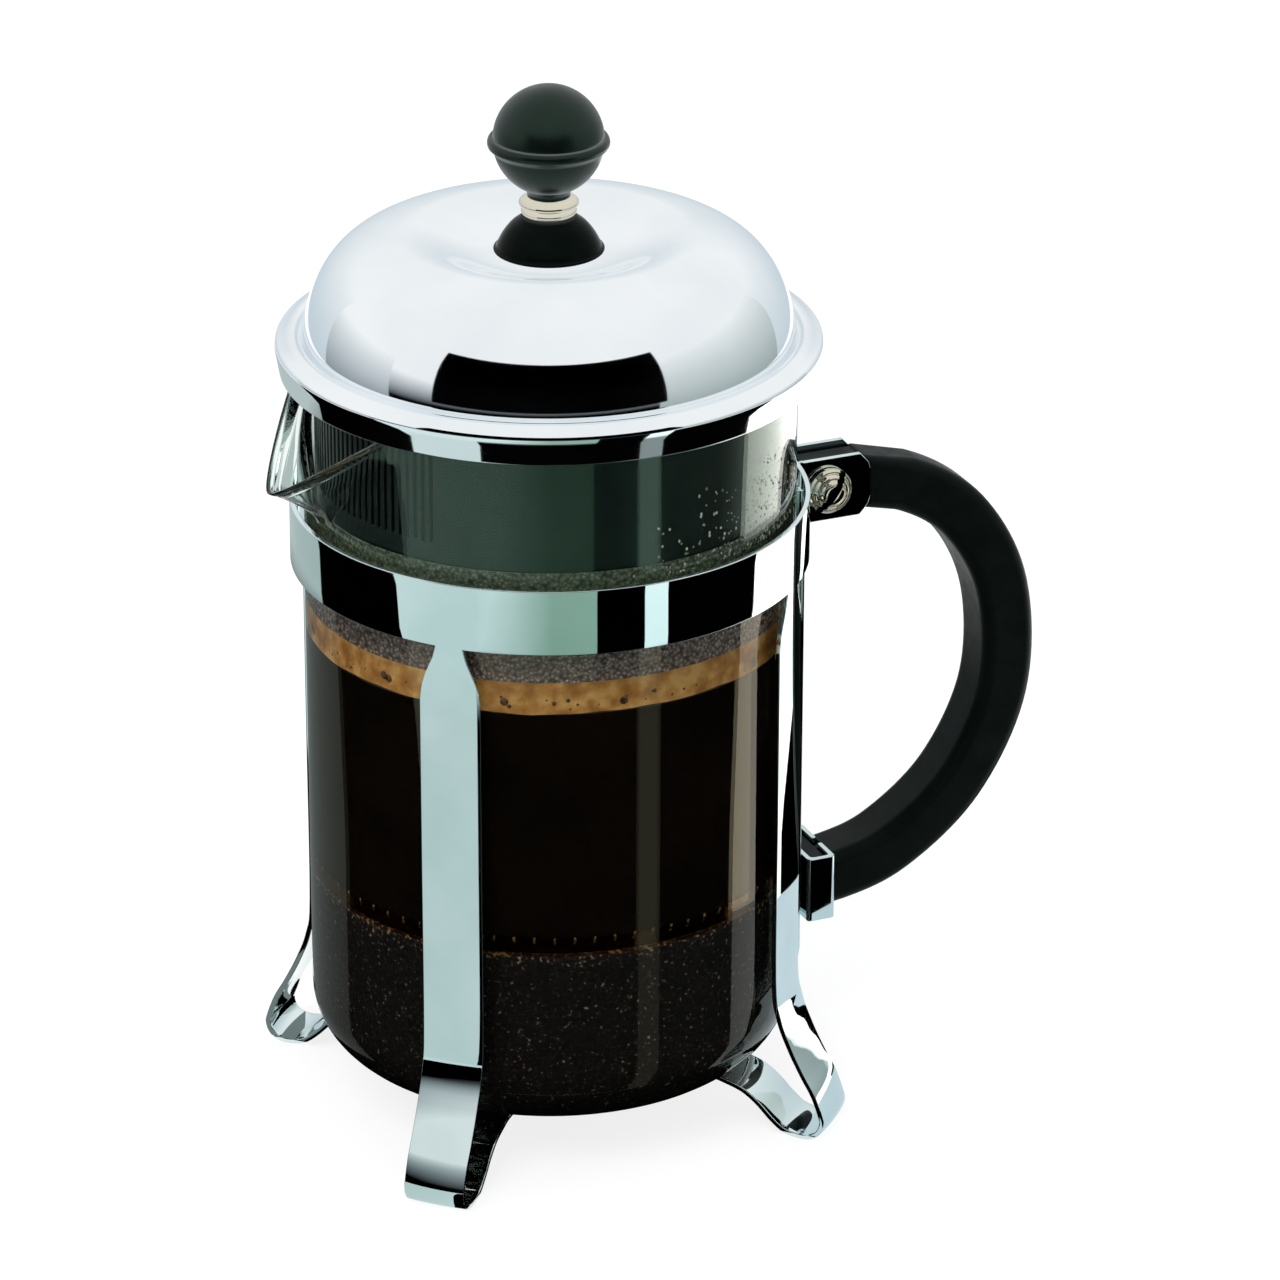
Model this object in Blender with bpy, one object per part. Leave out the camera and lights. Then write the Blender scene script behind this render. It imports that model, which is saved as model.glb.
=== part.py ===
"""Four-cup french press: chromed stand with handle, glass beaker, lid, plunger and filter.

Run with: blender --background --python part.py
The vessel's axis is vertical. The handle points along +X, the spout along -X, and the feet stand on Z = 0.
All lengths below are millimetres, and MM turns them into metres.
"""

import math

import bmesh
import bpy
from mathutils import Matrix, Vector

MM = 0.001

# Driving dimensions
GLASS_R = 42.0            # outside radius of the beaker
GLASS_WALL = 1.7
GLASS_BASE_Z = 9.8        # underside of the beaker, resting on the feet
GLASS_RIM_Z = 138.3
GLASS_CORNER = 11.5       # radius where the wall turns into the base
AXIS_X = -19.8            # vessel axis, so that the bounding box is centred on the origin
GAP = 0.3                 # clearance between touching pieces

SHEET = 0.9               # thickness of the stand's sheet metal
BAND_R = 44.4             # outside radius of the collar
BAND_LOW_Z = 101.3
BAND_TOP_Z = 112.8
LEG_HALF_WIDTH = 5.45
NECK_HALF_WIDTH = 2.5
LEG_COUNT = 4
EAR_GAP_HALF = 3.2        # from the handle's mid plane to an ear's inner face
EAR_END_R = 58.9
EAR_DROP = 1.0            # the ears sit this much lower than the collar
BOLT_R_POS = 50.4         # distance of the clamp bolt from the vessel axis
BOLT_Z = 106.05
BOLT_SHANK_R = 2.0

STRAP_R = 46.0            # outside radius of the handle strap
STRAP_LOW_Z = 16.0
BRACKET_LOW_Z = 24.7
BRACKET_TOP_Z = 36.9
BRACKET_OUT_R = 51.6
BRACKET_HALF_WIDTH = 7.1

SPOUT_HALF_ANGLE = 32.0   # degrees to each side of the lip over which the rim is drawn out
SPOUT_DIP = 17.8          # how far the lip's tip lies below the rim
SPOUT_REACH = 9.4         # how far the lip's tip stands out from the wall
SPOUT_FADE = 7.5          # height below the lip over which the bulge dies away
SPOUT_START_Z = 108.0

DOME_R = 41.7
DOME_LOW_Z = 141.8
DOME_HEIGHT = 17.8        # the crown's highest ring over the dome's base
DISH_R = 26.0             # inside this radius the crown dips towards the knob seat
DISH_DEPTH = 3.9
FLANGE_R = 46.5
SKIRT_LOW_Z = 135.7
LID_SHEET = 0.8

LINER_R = 39.9            # outside radius of the liner inside the glass
LINER_LOW_Z = 114.0
LINER_DECK_Z = 138.0
LINER_WALL = 1.2
SLOT_COUNT = 18
SLOT_PITCH = 4.4          # degrees from slot to slot round the spout side

ROD_R = 2.0
SEAT_LOW_Z = 156.2        # underside of the knob seat on the dome
SEAT_HEIGHT = 6.1
KNOB_CENTRE_Z = 175.7
KNOB_R = 9.4
FILTER_Z = 46.2           # middle of the filter stack
ROUND = 40                # segments of a large turned piece
HEX_FLAT = math.cos(math.radians(30.0))   # a hexagon's half width across flats over its corner radius

COLOURS = {
    "chrome": ((0.80, 0.82, 0.84), 0.08, 1.0),
    "steel": ((0.62, 0.62, 0.60), 0.28, 1.0),
    "nickel": ((0.72, 0.69, 0.58), 0.20, 1.0),
    "brass": ((0.70, 0.52, 0.25), 0.30, 1.0),
    "black_plastic": ((0.014, 0.020, 0.019), 0.42, 0.0),
    "glass": ((0.86, 0.92, 0.90), 0.03, 0.0),
}


def clear_scene():
    """Remove the start-up objects."""
    for obj in list(bpy.data.objects):
        bpy.data.objects.remove(obj, do_unlink=True)


def material_for(piece, kind):
    """Give one piece its own Principled material."""
    colour, roughness, metallic = COLOURS[kind]
    material = bpy.data.materials.new(piece + "_finish")
    material.use_nodes = True
    shader = material.node_tree.nodes["Principled BSDF"]
    shader.inputs["Base Color"].default_value = (*colour, 1.0)
    shader.inputs["Roughness"].default_value = roughness
    shader.inputs["Metallic"].default_value = metallic
    if kind == "glass":
        shader.inputs["Transmission Weight"].default_value = 1.0
    return material


def empty_on_axis(name, parent=None):
    """An empty on the vessel axis, the joint axis of every moving group."""
    empty = bpy.data.objects.new(name, None)
    bpy.context.scene.collection.objects.link(empty)
    if parent is None:
        empty.location = (AXIS_X * MM, 0.0, 0.0)
    else:
        empty.parent = parent
    return empty


def to_object(name, mesh_edit, kind, parent, smooth=True):
    """Turn an edited mesh in millimetres into an object in metres."""
    bmesh.ops.remove_doubles(mesh_edit, verts=mesh_edit.verts, dist=0.0005)
    bmesh.ops.recalc_face_normals(mesh_edit, faces=mesh_edit.faces)
    bmesh.ops.scale(mesh_edit, vec=(MM, MM, MM), verts=mesh_edit.verts)
    mesh = bpy.data.meshes.new(name)
    mesh_edit.to_mesh(mesh)
    mesh_edit.free()
    if smooth:
        mesh.shade_smooth()
        mesh.set_sharp_from_angle(angle=math.radians(35))
    obj = bpy.data.objects.new(name, mesh)
    bpy.context.scene.collection.objects.link(obj)
    if kind is not None:
        mesh.materials.append(material_for(name, kind))
    obj.parent = parent
    return obj


def turned(name, outline, kind, parent, segments=ROUND):
    """Spin a closed outline of (radius, height) points about the vessel axis."""
    mesh_edit = bmesh.new()
    columns = []
    for step in range(segments):
        angle = 2.0 * math.pi * step / segments
        column = []
        for radius, height in outline:
            if radius == 0.0 and step > 0:
                column.append(columns[0][len(column)])
                continue
            place = (radius * math.cos(angle), radius * math.sin(angle), height)
            column.append(mesh_edit.verts.new(place))
        columns.append(column)
    count = len(outline)
    for step in range(segments):
        here, there = columns[step], columns[(step + 1) % segments]
        for row in range(count):
            corners = []
            for vert in (here[row], here[(row + 1) % count], there[(row + 1) % count], there[row]):
                if vert not in corners:
                    corners.append(vert)
            if len(corners) > 2:
                mesh_edit.faces.new(corners)
    return to_object(name, mesh_edit, kind, parent)


def arc(centre_r, centre_z, radius, start, end, steps):
    """Points of a circular arc in the (radius, height) plane, angles in degrees."""
    points = []
    for step in range(steps + 1):
        angle = math.radians(start + (end - start) * step / steps)
        points.append((centre_r + radius * math.cos(angle), centre_z + radius * math.sin(angle)))
    return points


def loft(name, sections, kind, parent):
    """Skin a row of sections, each a list of points, and cap both ends."""
    mesh_edit = bmesh.new()
    rings = [[mesh_edit.verts.new(point) for point in section] for section in sections]
    count = len(rings[0])
    for before, after in zip(rings, rings[1:]):
        for index in range(count):
            following = (index + 1) % count
            mesh_edit.faces.new((before[index], before[following], after[following], after[index]))
    mesh_edit.faces.new(rings[0])
    mesh_edit.faces.new(list(reversed(rings[-1])))
    return to_object(name, mesh_edit, kind, parent)


def thicken(obj, thickness, offset):
    """Turn a sheet of faces into a closed plate."""
    solidify = obj.modifiers.new("thickness", "SOLIDIFY")
    solidify.thickness = thickness * MM
    solidify.offset = offset
    solidify.use_even_offset = True


def cylinder_cutter(name, radius, length, centre, axis, parent):
    """A round cutter along axis, hidden from the result."""
    mesh_edit = bmesh.new()
    turn = Vector((0, 0, 1)).rotation_difference(Vector(axis)).to_matrix().to_4x4()
    place = Matrix.Translation(Vector(centre)) @ turn
    bmesh.ops.create_cone(mesh_edit, cap_ends=True, segments=16, radius1=radius, radius2=radius,
                          depth=length, matrix=place)
    cutter = to_object(name, mesh_edit, None, parent, smooth=False)
    cutter.hide_render = True
    cutter.display_type = "WIRE"
    return cutter


def cut(obj, cutter):
    """Take the cutter's shape out of obj."""
    boolean = obj.modifiers.new("cut", "BOOLEAN")
    boolean.operation = "DIFFERENCE"
    boolean.solver = "EXACT"
    boolean.object = cutter


def box_faces(mesh_edit, low, high):
    """Add a closed box between two corners."""
    size = Vector(high) - Vector(low)
    centre = (Vector(high) + Vector(low)) / 2.0
    matrix = Matrix.Translation(centre) @ Matrix.Diagonal((size.x, size.y, size.z, 1.0))
    bmesh.ops.create_cube(mesh_edit, size=1.0, matrix=matrix)


# ---------------------------------------------------------------- stand

def foot_path():
    """Middle line of a leg's sheet as (radius, height), from the collar down to the end under the beaker."""
    mid_r = BAND_R - SHEET / 2.0
    sole = SHEET / 2.0
    path = [(mid_r, 80.0), (mid_r, 30.0), (mid_r + 0.9, 22.6), (46.9, 17.1), (49.3, 12.3), (51.4, 8.6)]
    path += arc(49.9, 3.6, 3.15, 18.0, -80.0, 4)[0:4]
    path += [(50.3, sole), (48.3, sole), (45.9, 1.1), (43.6, 2.9), (41.1, 5.4), (38.3, 7.4), (34.8, 8.6)]
    path += [(34.0, GLASS_BASE_Z - GAP - sole), (28.5, GLASS_BASE_Z - GAP - sole)]
    return path


def leg_point(radius, height, across, angle):
    """A point on a leg: across runs along the sheet's width, which keeps the collar's curve."""
    hollow = math.sqrt(BAND_R ** 2 - across ** 2) - BAND_R
    out = radius + hollow
    return (out * math.cos(angle) - across * math.sin(angle),
            out * math.sin(angle) + across * math.cos(angle), height)


def make_stand(parent):
    """Collar, four legs with hairpin feet and two ears, cut and bent from one sheet."""
    mesh_edit = bmesh.new()
    mid_r = BAND_R - SHEET / 2.0
    ear_mid = EAR_GAP_HALF + SHEET / 2.0
    bend = 1.8
    start = math.degrees((ear_mid + bend) / mid_r)
    neck = math.degrees(NECK_HALF_WIDTH / mid_r)
    across_steps = [-1.0, -0.5, 0.0, 0.5, 1.0]
    leg_angles = [45.0 + 90.0 * index for index in range(LEG_COUNT)]

    angles = [start]
    for centre in leg_angles:
        low = centre - neck
        gap_steps = max(1, round((low - angles[-1]) / 9.0))
        first = angles[-1]
        angles += [first + (low - first) * step / gap_steps for step in range(1, gap_steps)]
        angles += [centre + neck * across for across in across_steps]
    first = angles[-1]
    gap_steps = round((360.0 - start - first) / 9.0)
    angles += [first + (360.0 - start - first) * step / gap_steps for step in range(1, gap_steps + 1)]

    levels = (BAND_LOW_Z, (BAND_LOW_Z + BAND_TOP_Z) / 2.0, BAND_TOP_Z)
    rows = []
    for degrees in angles:
        angle = math.radians(degrees)
        across, along = mid_r * math.cos(angle), mid_r * math.sin(angle)
        rows.append([mesh_edit.verts.new((across, along, z)) for z in levels])
    for before, after in zip(rows, rows[1:]):
        for level in range(2):
            mesh_edit.faces.new((before[level], after[level], after[level + 1], before[level + 1]))

    # Ears: the collar's ends bend out along the handle and end in a shallow arc.
    bulge = 1.8
    half_height = (BAND_TOP_Z - BAND_LOW_Z) / 2.0
    for side, last in ((1.0, rows[0]), (-1.0, rows[-1])):
        stations = [mid_r + 0.55, mid_r + 1.9]
        offsets = [ear_mid + 0.55, ear_mid]
        for station, offset, drop in zip(stations, offsets, (0.5 * EAR_DROP, EAR_DROP)):
            column = [mesh_edit.verts.new((station, side * offset, z - drop)) for z in levels]
            for level in range(2):
                mesh_edit.faces.new((last[level], column[level], column[level + 1], last[level + 1]))
            last = column
        rim = []
        for share in (-1.0, -0.55, 0.0, 0.55, 1.0):
            height = levels[1] - EAR_DROP + share * half_height
            rim.append(mesh_edit.verts.new((EAR_END_R - bulge * share ** 2, side * ear_mid, height)))
        mesh_edit.faces.new((last[0], rim[0], rim[1], rim[2], last[1]))
        mesh_edit.faces.new((last[1], rim[2], rim[3], rim[4], last[2]))

    # Legs: a narrow neck widens to the full strip, which bends into the foot.
    for centre in leg_angles:
        angle = math.radians(centre)
        near = min(range(len(angles)), key=lambda index: abs(angles[index] - centre))
        above = [rows[near + shift][0] for shift in (-2, -1, 0, 1, 2)]
        stations = [(mid_r, 98.6, 0.60), (mid_r, 94.6, 0.90), (mid_r, 91.4, 1.0)]
        stations += [(radius, height, 1.0) for radius, height in foot_path()]
        for radius, height, width in stations:
            row = [mesh_edit.verts.new(leg_point(radius, height, step * width * LEG_HALF_WIDTH, angle))
                   for step in across_steps]
            for index in range(4):
                mesh_edit.faces.new((above[index], row[index], row[index + 1], above[index + 1]))
            above = row
    stand = to_object("stand_frame", mesh_edit, "chrome", parent)
    thicken(stand, SHEET, 0.0)
    cutter = cylinder_cutter("ear_hole_cutter", BOLT_SHANK_R + GAP, 30.0, (BOLT_R_POS, 0.0, BOLT_Z),
                             (0, 1, 0), parent)
    cut(stand, cutter)
    return stand


def make_strap(parent):
    """Strip that hangs inside the collar's split, joggles outwards and carries the handle's bracket."""
    thickness = 0.8
    inner_r = GLASS_R + 0.45 + thickness / 2.0
    outer_r = STRAP_R - thickness / 2.0
    path = [(inner_r, BAND_LOW_Z + 6.0), (inner_r, BAND_LOW_Z - 1.0), (outer_r, BAND_LOW_Z - 4.5),
            (outer_r, STRAP_LOW_Z + 3.0), (outer_r, STRAP_LOW_Z + 1.0), (outer_r, STRAP_LOW_Z)]
    widths = [5.2, 5.2, 5.2, 5.2, 4.6, 3.2]
    steps = [-1.0, -0.5, 0.0, 0.5, 1.0]
    mesh_edit = bmesh.new()
    above = None
    for (radius, height), width in zip(path, widths):
        row = []
        for step in steps:
            across = step * width
            row.append(mesh_edit.verts.new((math.sqrt(radius ** 2 - across ** 2), across, height)))
        if above:
            for index in range(4):
                mesh_edit.faces.new((above[index], row[index], row[index + 1], above[index + 1]))
        above = row
    strap = to_object("handle_strap", mesh_edit, "chrome", parent)
    thicken(strap, thickness, 0.0)
    return strap


def make_bracket(parent):
    """C-shaped channel on the strap: back wall, two sides and two lips that leave a slot."""
    wall = 0.9
    back = STRAP_R + GAP
    out = BRACKET_OUT_R
    half = BRACKET_HALF_WIDTH
    slot = 1.15
    outline = [(back, half), (out, half), (out, slot), (out - wall, slot), (out - wall, half - wall),
               (back + wall, half - wall)]
    outline += [(radius, -across) for radius, across in reversed(outline)]
    sections = []
    for height in (BRACKET_LOW_Z, BRACKET_TOP_Z):
        sections.append([(radius, across, height) for radius, across in outline])
    return loft("handle_bracket", sections, "chrome", parent)


def handle_line(steps):
    """Middle line of the grip, from the bracket up to the collar, through a few guide points."""
    guides = [(40.0, 29.8), (52.4, 31.0), (64.5, 34.6), (77.3, 45.2), (85.3, 62.0), (84.9, 81.5),
              (77.4, 96.2), (66.0, 103.9), (55.0, 105.2)]
    spans = len(guides) - 3
    points = []
    for step in range(steps + 1):
        place = min(step * spans / steps, spans - 1e-9)
        index = int(place)
        share = place - index
        a, b, c, d = (Vector(guides[index + shift]) for shift in range(4))
        point = 0.5 * (2.0 * b + (c - a) * share + (2.0 * a - 5.0 * b + 4.0 * c - d) * share ** 2
                       + (3.0 * b - a - 3.0 * c + d) * share ** 3)
        points.append(point)
    return points


def grip_section(point, along, half_width, half_depth, corner):
    """Rounded rectangle across the grip at a point of its middle line."""
    normal = Vector((-along.y, along.x))
    ring = []
    for sign_w, sign_d, start in ((1, 1, 0), (-1, 1, 90), (-1, -1, 180), (1, -1, 270)):
        for step in range(3):
            angle = math.radians(start + 45.0 * step)
            across = sign_w * (half_width - corner) + corner * math.cos(angle)
            deep = sign_d * (half_depth - corner) + corner * math.sin(angle)
            place = point + normal * deep
            ring.append((place.x, across, place.y))
    return ring


def make_grip(parent):
    """D-shaped handle: tongue between the ears, curved grip and a T-shaped tail in the bracket."""
    line = handle_line(16)
    level = Vector((1.0, 0.0))
    tail_z = (BRACKET_LOW_Z + BRACKET_TOP_Z) / 2.0 + 0.3
    shoulder = BRACKET_OUT_R + GAP
    slot_inner = BRACKET_OUT_R - 0.9 - GAP
    head_end = STRAP_R + GAP + 0.9 + GAP
    sections = []
    for radius, half_width, half_depth in ((head_end, 5.5, 4.9), (slot_inner, 5.5, 4.9),
                                           (slot_inner, 0.8, 4.5), (shoulder, 0.8, 4.5)):
        sections.append(grip_section(Vector((radius, tail_z)), level, half_width, half_depth, 0.25))
    sections.append(grip_section(Vector((shoulder, tail_z)), level, 5.5, 5.1, 1.6))
    for index in range(1, len(line)):
        before = line[index - 1]
        after = line[min(index + 1, len(line) - 1)]
        along = (after - before).normalized()
        share = min(1.0, max(0.0, (len(line) - 1 - index) / 5.0))
        half_width = 4.2 + 1.3 * share
        sections.append(grip_section(line[index], along, half_width, 4.9, 2.2))
    # The last stretch runs level between the ears.
    start = EAR_END_R + 0.6
    tongue = EAR_GAP_HALF - GAP
    for radius, half_width, corner in ((start, 4.15, 1.4), (start, tongue, 0.6), (BAND_R + 2.3, tongue, 0.6)):
        half_depth = 4.9 if corner > 1.0 else 4.7
        sections.append(grip_section(Vector((radius, BOLT_Z - 0.15)), -level, half_width, half_depth, corner))
    grip = loft("handle_grip", sections, "black_plastic", parent)
    cutter = cylinder_cutter("grip_hole_cutter", BOLT_SHANK_R + GAP, 30.0, (BOLT_R_POS, 0.0, BOLT_Z),
                             (0, 1, 0), parent)
    cut(grip, cutter)
    return grip


def lie_along(obj, towards):
    """Lay a piece turned about Z along the clamp bolt's line; towards is +1 or -1 along Y."""
    obj.rotation_euler = (math.radians(-90.0 * towards), 0.0, 0.0)
    obj.location = (BOLT_R_POS * MM, 0.0, BOLT_Z * MM)


def make_clamp(parent):
    """Slotted round-head bolt through the ears, with a washer and a square nut behind."""
    face = EAR_GAP_HALF + SHEET + GAP
    shank_end = -8.6
    head = [(0.0, shank_end), (BOLT_SHANK_R, shank_end), (BOLT_SHANK_R, face), (4.1, face), (4.1, face + 0.7),
            (3.7, face + 1.5), (2.7, face + 2.2), (0.0, face + 2.5)]
    bolt = turned("clamp_bolt", head, "nickel", parent, 20)
    lie_along(bolt, -1.0)
    mesh_edit = bmesh.new()
    box_faces(mesh_edit, (-0.5, -6.0, face + 1.1), (0.5, 6.0, face + 4.0))
    slot_turn = Matrix.Rotation(math.radians(-35), 3, "Z")
    bmesh.ops.rotate(mesh_edit, verts=mesh_edit.verts, cent=(0, 0, 0), matrix=slot_turn)
    slot = to_object("slot_cutter", mesh_edit, None, parent, smooth=False)
    slot.hide_render = True
    slot.display_type = "WIRE"
    lie_along(slot, -1.0)
    cut(bolt, slot)
    bore = BOLT_SHANK_R + GAP
    washer = turned("clamp_washer", [(bore, face), (4.4, face), (4.4, face + 0.8), (bore, face + 0.8)],
                    "nickel", parent, 20)
    lie_along(washer, 1.0)
    low = face + 0.8 + GAP
    corner = bore / HEX_FLAT
    nut = turned("clamp_nut", [(corner, low), (4.4, low), (4.4, low + 2.2), (4.0, low + 2.7),
                               (corner, low + 2.7)], "nickel", parent, 6)
    lie_along(nut, 1.0)


# ---------------------------------------------------------------- beaker

def spout_shape(angle, height):
    """How far the glass stands out and how far its rim dips, near the spout at 180 degrees."""
    aside = abs(math.degrees(angle) - 180.0)
    if aside >= SPOUT_HALF_ANGLE:
        return 0.0, 0.0
    narrow = 1.0 - aside / SPOUT_HALF_ANGLE
    dip = SPOUT_DIP * narrow ** 1.15
    rim = GLASS_RIM_Z - dip
    below = max(0.0, rim - height)
    reach = SPOUT_REACH * narrow ** 1.6
    out = reach * max(0.0, 1.0 - below / SPOUT_FADE) ** 1.6
    return out, dip


def make_beaker(parent):
    """Glass cup with a rounded base and a pouring lip drawn from its rim."""
    inner_r = GLASS_R - GLASS_WALL
    floor = GLASS_BASE_Z + 2.0
    outside = [(0.0, GLASS_BASE_Z)]
    outside += arc(GLASS_R - GLASS_CORNER, GLASS_BASE_Z + GLASS_CORNER, GLASS_CORNER, -90, 0, 4)
    wall_levels = [60.0, 98.0, 108.0, 114.0, 119.0, 124.0, 129.0, 134.0]
    outside += [(GLASS_R, height) for height in wall_levels] + [(GLASS_R, GLASS_RIM_Z)]
    corner = GLASS_CORNER - GLASS_WALL
    inside = [(inner_r, GLASS_RIM_Z)] + [(inner_r, height) for height in reversed(wall_levels)]
    inside += arc(inner_r - corner, floor + corner, corner, 0, -90, 4) + [(0.0, floor)]
    profile = outside + inside
    segments = []
    for step in range(36):
        segments.append(10.0 * step)
    segments += [165.0, 175.0, 185.0, 195.0]
    segments.sort()
    mesh_edit = bmesh.new()
    columns = []
    for degrees in segments:
        angle = math.radians(degrees)
        column = []
        for radius, height in profile:
            if radius == 0.0 and columns:
                column.append(columns[0][len(column)])
                continue
            out, dip = 0.0, 0.0
            if height > 100.0:
                dip = spout_shape(angle, height)[1]
                share = max(0.0, (height - SPOUT_START_Z) / (GLASS_RIM_Z - SPOUT_START_Z))
                lowered = height - dip * share
                out = spout_shape(angle, lowered)[0]
                height = lowered
            column.append(mesh_edit.verts.new(((radius + out) * math.cos(angle),
                                               (radius + out) * math.sin(angle), height)))
        columns.append(column)
    count = len(profile)
    for step in range(len(columns)):
        here, there = columns[step], columns[(step + 1) % len(columns)]
        for row in range(count - 1):
            corners = []
            for vert in (here[row], here[row + 1], there[row + 1], there[row]):
                if vert not in corners:
                    corners.append(vert)
            mesh_edit.faces.new(corners)
    return to_object("glass_beaker", mesh_edit, "glass", parent)


# ---------------------------------------------------------------- lid

def crown_height(radius, inset):
    """Height of the flat part of the crown, with its shallow dish in the middle."""
    share = (radius / (DOME_R - inset)) ** (1.0 / 0.3)
    height = (DOME_HEIGHT - inset) * math.sqrt(1.0 - share * share) ** 1.3
    if radius < DISH_R:
        turn = math.pi * min(1.0, (DISH_R - radius) / (DISH_R - 9.5))
        height -= DISH_DEPTH * (1.0 - math.cos(turn)) / 2.0
    return DOME_LOW_Z + height


def dome_line(hole, inset):
    """Crown of the lid as (radius, height): steep at the base, rounded shoulder, dished top."""
    points = []
    for degrees in (0.0, 14.0, 26.0, 38.0, 50.0, 61.0, 71.0):
        angle = math.radians(degrees)
        radius = (DOME_R - inset) * math.cos(angle) ** 0.3
        height = DOME_LOW_Z + (DOME_HEIGHT - inset) * math.sin(angle) ** 1.3
        points.append((radius, height))
    for radius in (26.0, 21.5, 17.5, 13.0, 9.5, hole):
        points.append((radius, crown_height(radius, inset)))
    return points


def make_lid_shell(parent):
    """Pressed dome with a bead, a flange and a short skirt over the glass rim."""
    hole = 4.0
    t = LID_SHEET
    outside = [(FLANGE_R - 0.9, SKIRT_LOW_Z), (FLANGE_R - 0.3, DOME_LOW_Z - 2.2),
               (FLANGE_R - 0.2, DOME_LOW_Z - 1.2), (FLANGE_R - 1.3, DOME_LOW_Z - 0.5),
               (44.1, DOME_LOW_Z + 0.2), (42.9, DOME_LOW_Z + 0.3), (42.2, DOME_LOW_Z - 0.7)]
    outside += dome_line(hole, 0.0)
    inside = list(reversed(dome_line(hole, t)))
    inside += [(DOME_R - t - 0.1, DOME_LOW_Z - 1.6), (43.0, DOME_LOW_Z - 1.9),
               (FLANGE_R - 0.9 - t, DOME_LOW_Z - 2.4), (FLANGE_R - 0.9 - t, SKIRT_LOW_Z)]
    return turned("lid_shell", outside + inside, "chrome", parent)


def make_liner(parent):
    """Plastic liner: slotted wall inside the glass, deck and a central column under the dome."""
    wall_r = LINER_R - LINER_WALL / 2.0
    column_r = 5.0
    rows = [(wall_r, LINER_LOW_Z), (wall_r, 118.0), (wall_r, 133.5), (wall_r, LINER_DECK_Z),
            (22.0, LINER_DECK_Z), (column_r, LINER_DECK_Z), (column_r, SEAT_LOW_Z - 2.0)]
    half_zone = SLOT_COUNT * SLOT_PITCH / 2.0
    edges = []
    for index in range(SLOT_COUNT):
        centre = 180.0 - half_zone + (index + 0.5) * SLOT_PITCH
        edges += [centre - SLOT_PITCH / 4.0, centre + SLOT_PITCH / 4.0]
    slots = set(range(0, len(edges), 2))
    start, end = edges[-1], edges[0] + 360.0
    plain_steps = 26
    edges += [start + (end - start) * step / plain_steps for step in range(1, plain_steps)]
    mesh_edit = bmesh.new()
    columns = []
    for degrees in edges:
        angle = math.radians(degrees)
        across, along = math.cos(angle), math.sin(angle)
        columns.append([mesh_edit.verts.new((r * across, r * along, z)) for r, z in rows])
    for step in range(len(columns)):
        here, there = columns[step], columns[(step + 1) % len(columns)]
        for row in range(len(rows) - 1):
            if row == 1 and step in slots:
                continue
            mesh_edit.faces.new((here[row], here[row + 1], there[row + 1], there[row]))
    liner = to_object("lid_liner", mesh_edit, "black_plastic", parent)
    thicken(liner, LINER_WALL, 0.0)
    return liner


def make_knob_seat(parent):
    """Bell on top of the dome, with a hollow spigot that guides the rod."""
    bore = ROD_R + GAP
    low = SEAT_LOW_Z
    top = low + SEAT_HEIGHT
    spigot_low = LINER_DECK_Z - 4.6
    outline = [(bore, spigot_low), (3.6, spigot_low), (3.6, low), (9.0, low), (9.35, low + 0.4),
               (8.9, low + 1.0), (7.9, low + 2.6), (6.3, low + 4.5), (4.1, top), (bore, top)]
    seat = turned("knob_seat", outline, "black_plastic", parent, 28)
    nut_low = LINER_DECK_Z - LINER_WALL / 2.0 - GAP
    washer = [(3.9, nut_low - 0.8), (7.4, nut_low - 0.8), (7.4, nut_low), (3.9, nut_low)]
    turned("liner_washer", washer, "steel", parent, 24)
    top = nut_low - 0.8 - GAP
    corner = 3.9 / HEX_FLAT
    nut = [(corner, top - 2.4), (6.6, top - 2.4), (6.6, top), (corner, top)]
    turned("liner_nut", nut, "steel", parent, 6)
    return seat


# ---------------------------------------------------------------- plunger, knob and filter

def make_rod(parent):
    """Steel rod with a stop collar under the knob."""
    low, top = FILTER_Z - 1.0, KNOB_CENTRE_Z - 2.0
    rod = [(0.0, low), (1.6, low), (ROD_R, low + 0.6), (ROD_R, top - 0.6), (1.6, top), (0.0, top)]
    turned("plunger_rod", rod, "steel", parent, 16)
    base = SEAT_LOW_Z + SEAT_HEIGHT + GAP
    bore = ROD_R + GAP
    ring = [(bore, base), (3.9, base), (4.6, base + 0.3), (4.8, base + 0.8), (4.5, base + 1.2),
            (bore, base + 1.2)]
    turned("rod_lock_ring", ring, "nickel", parent, 24)


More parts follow.
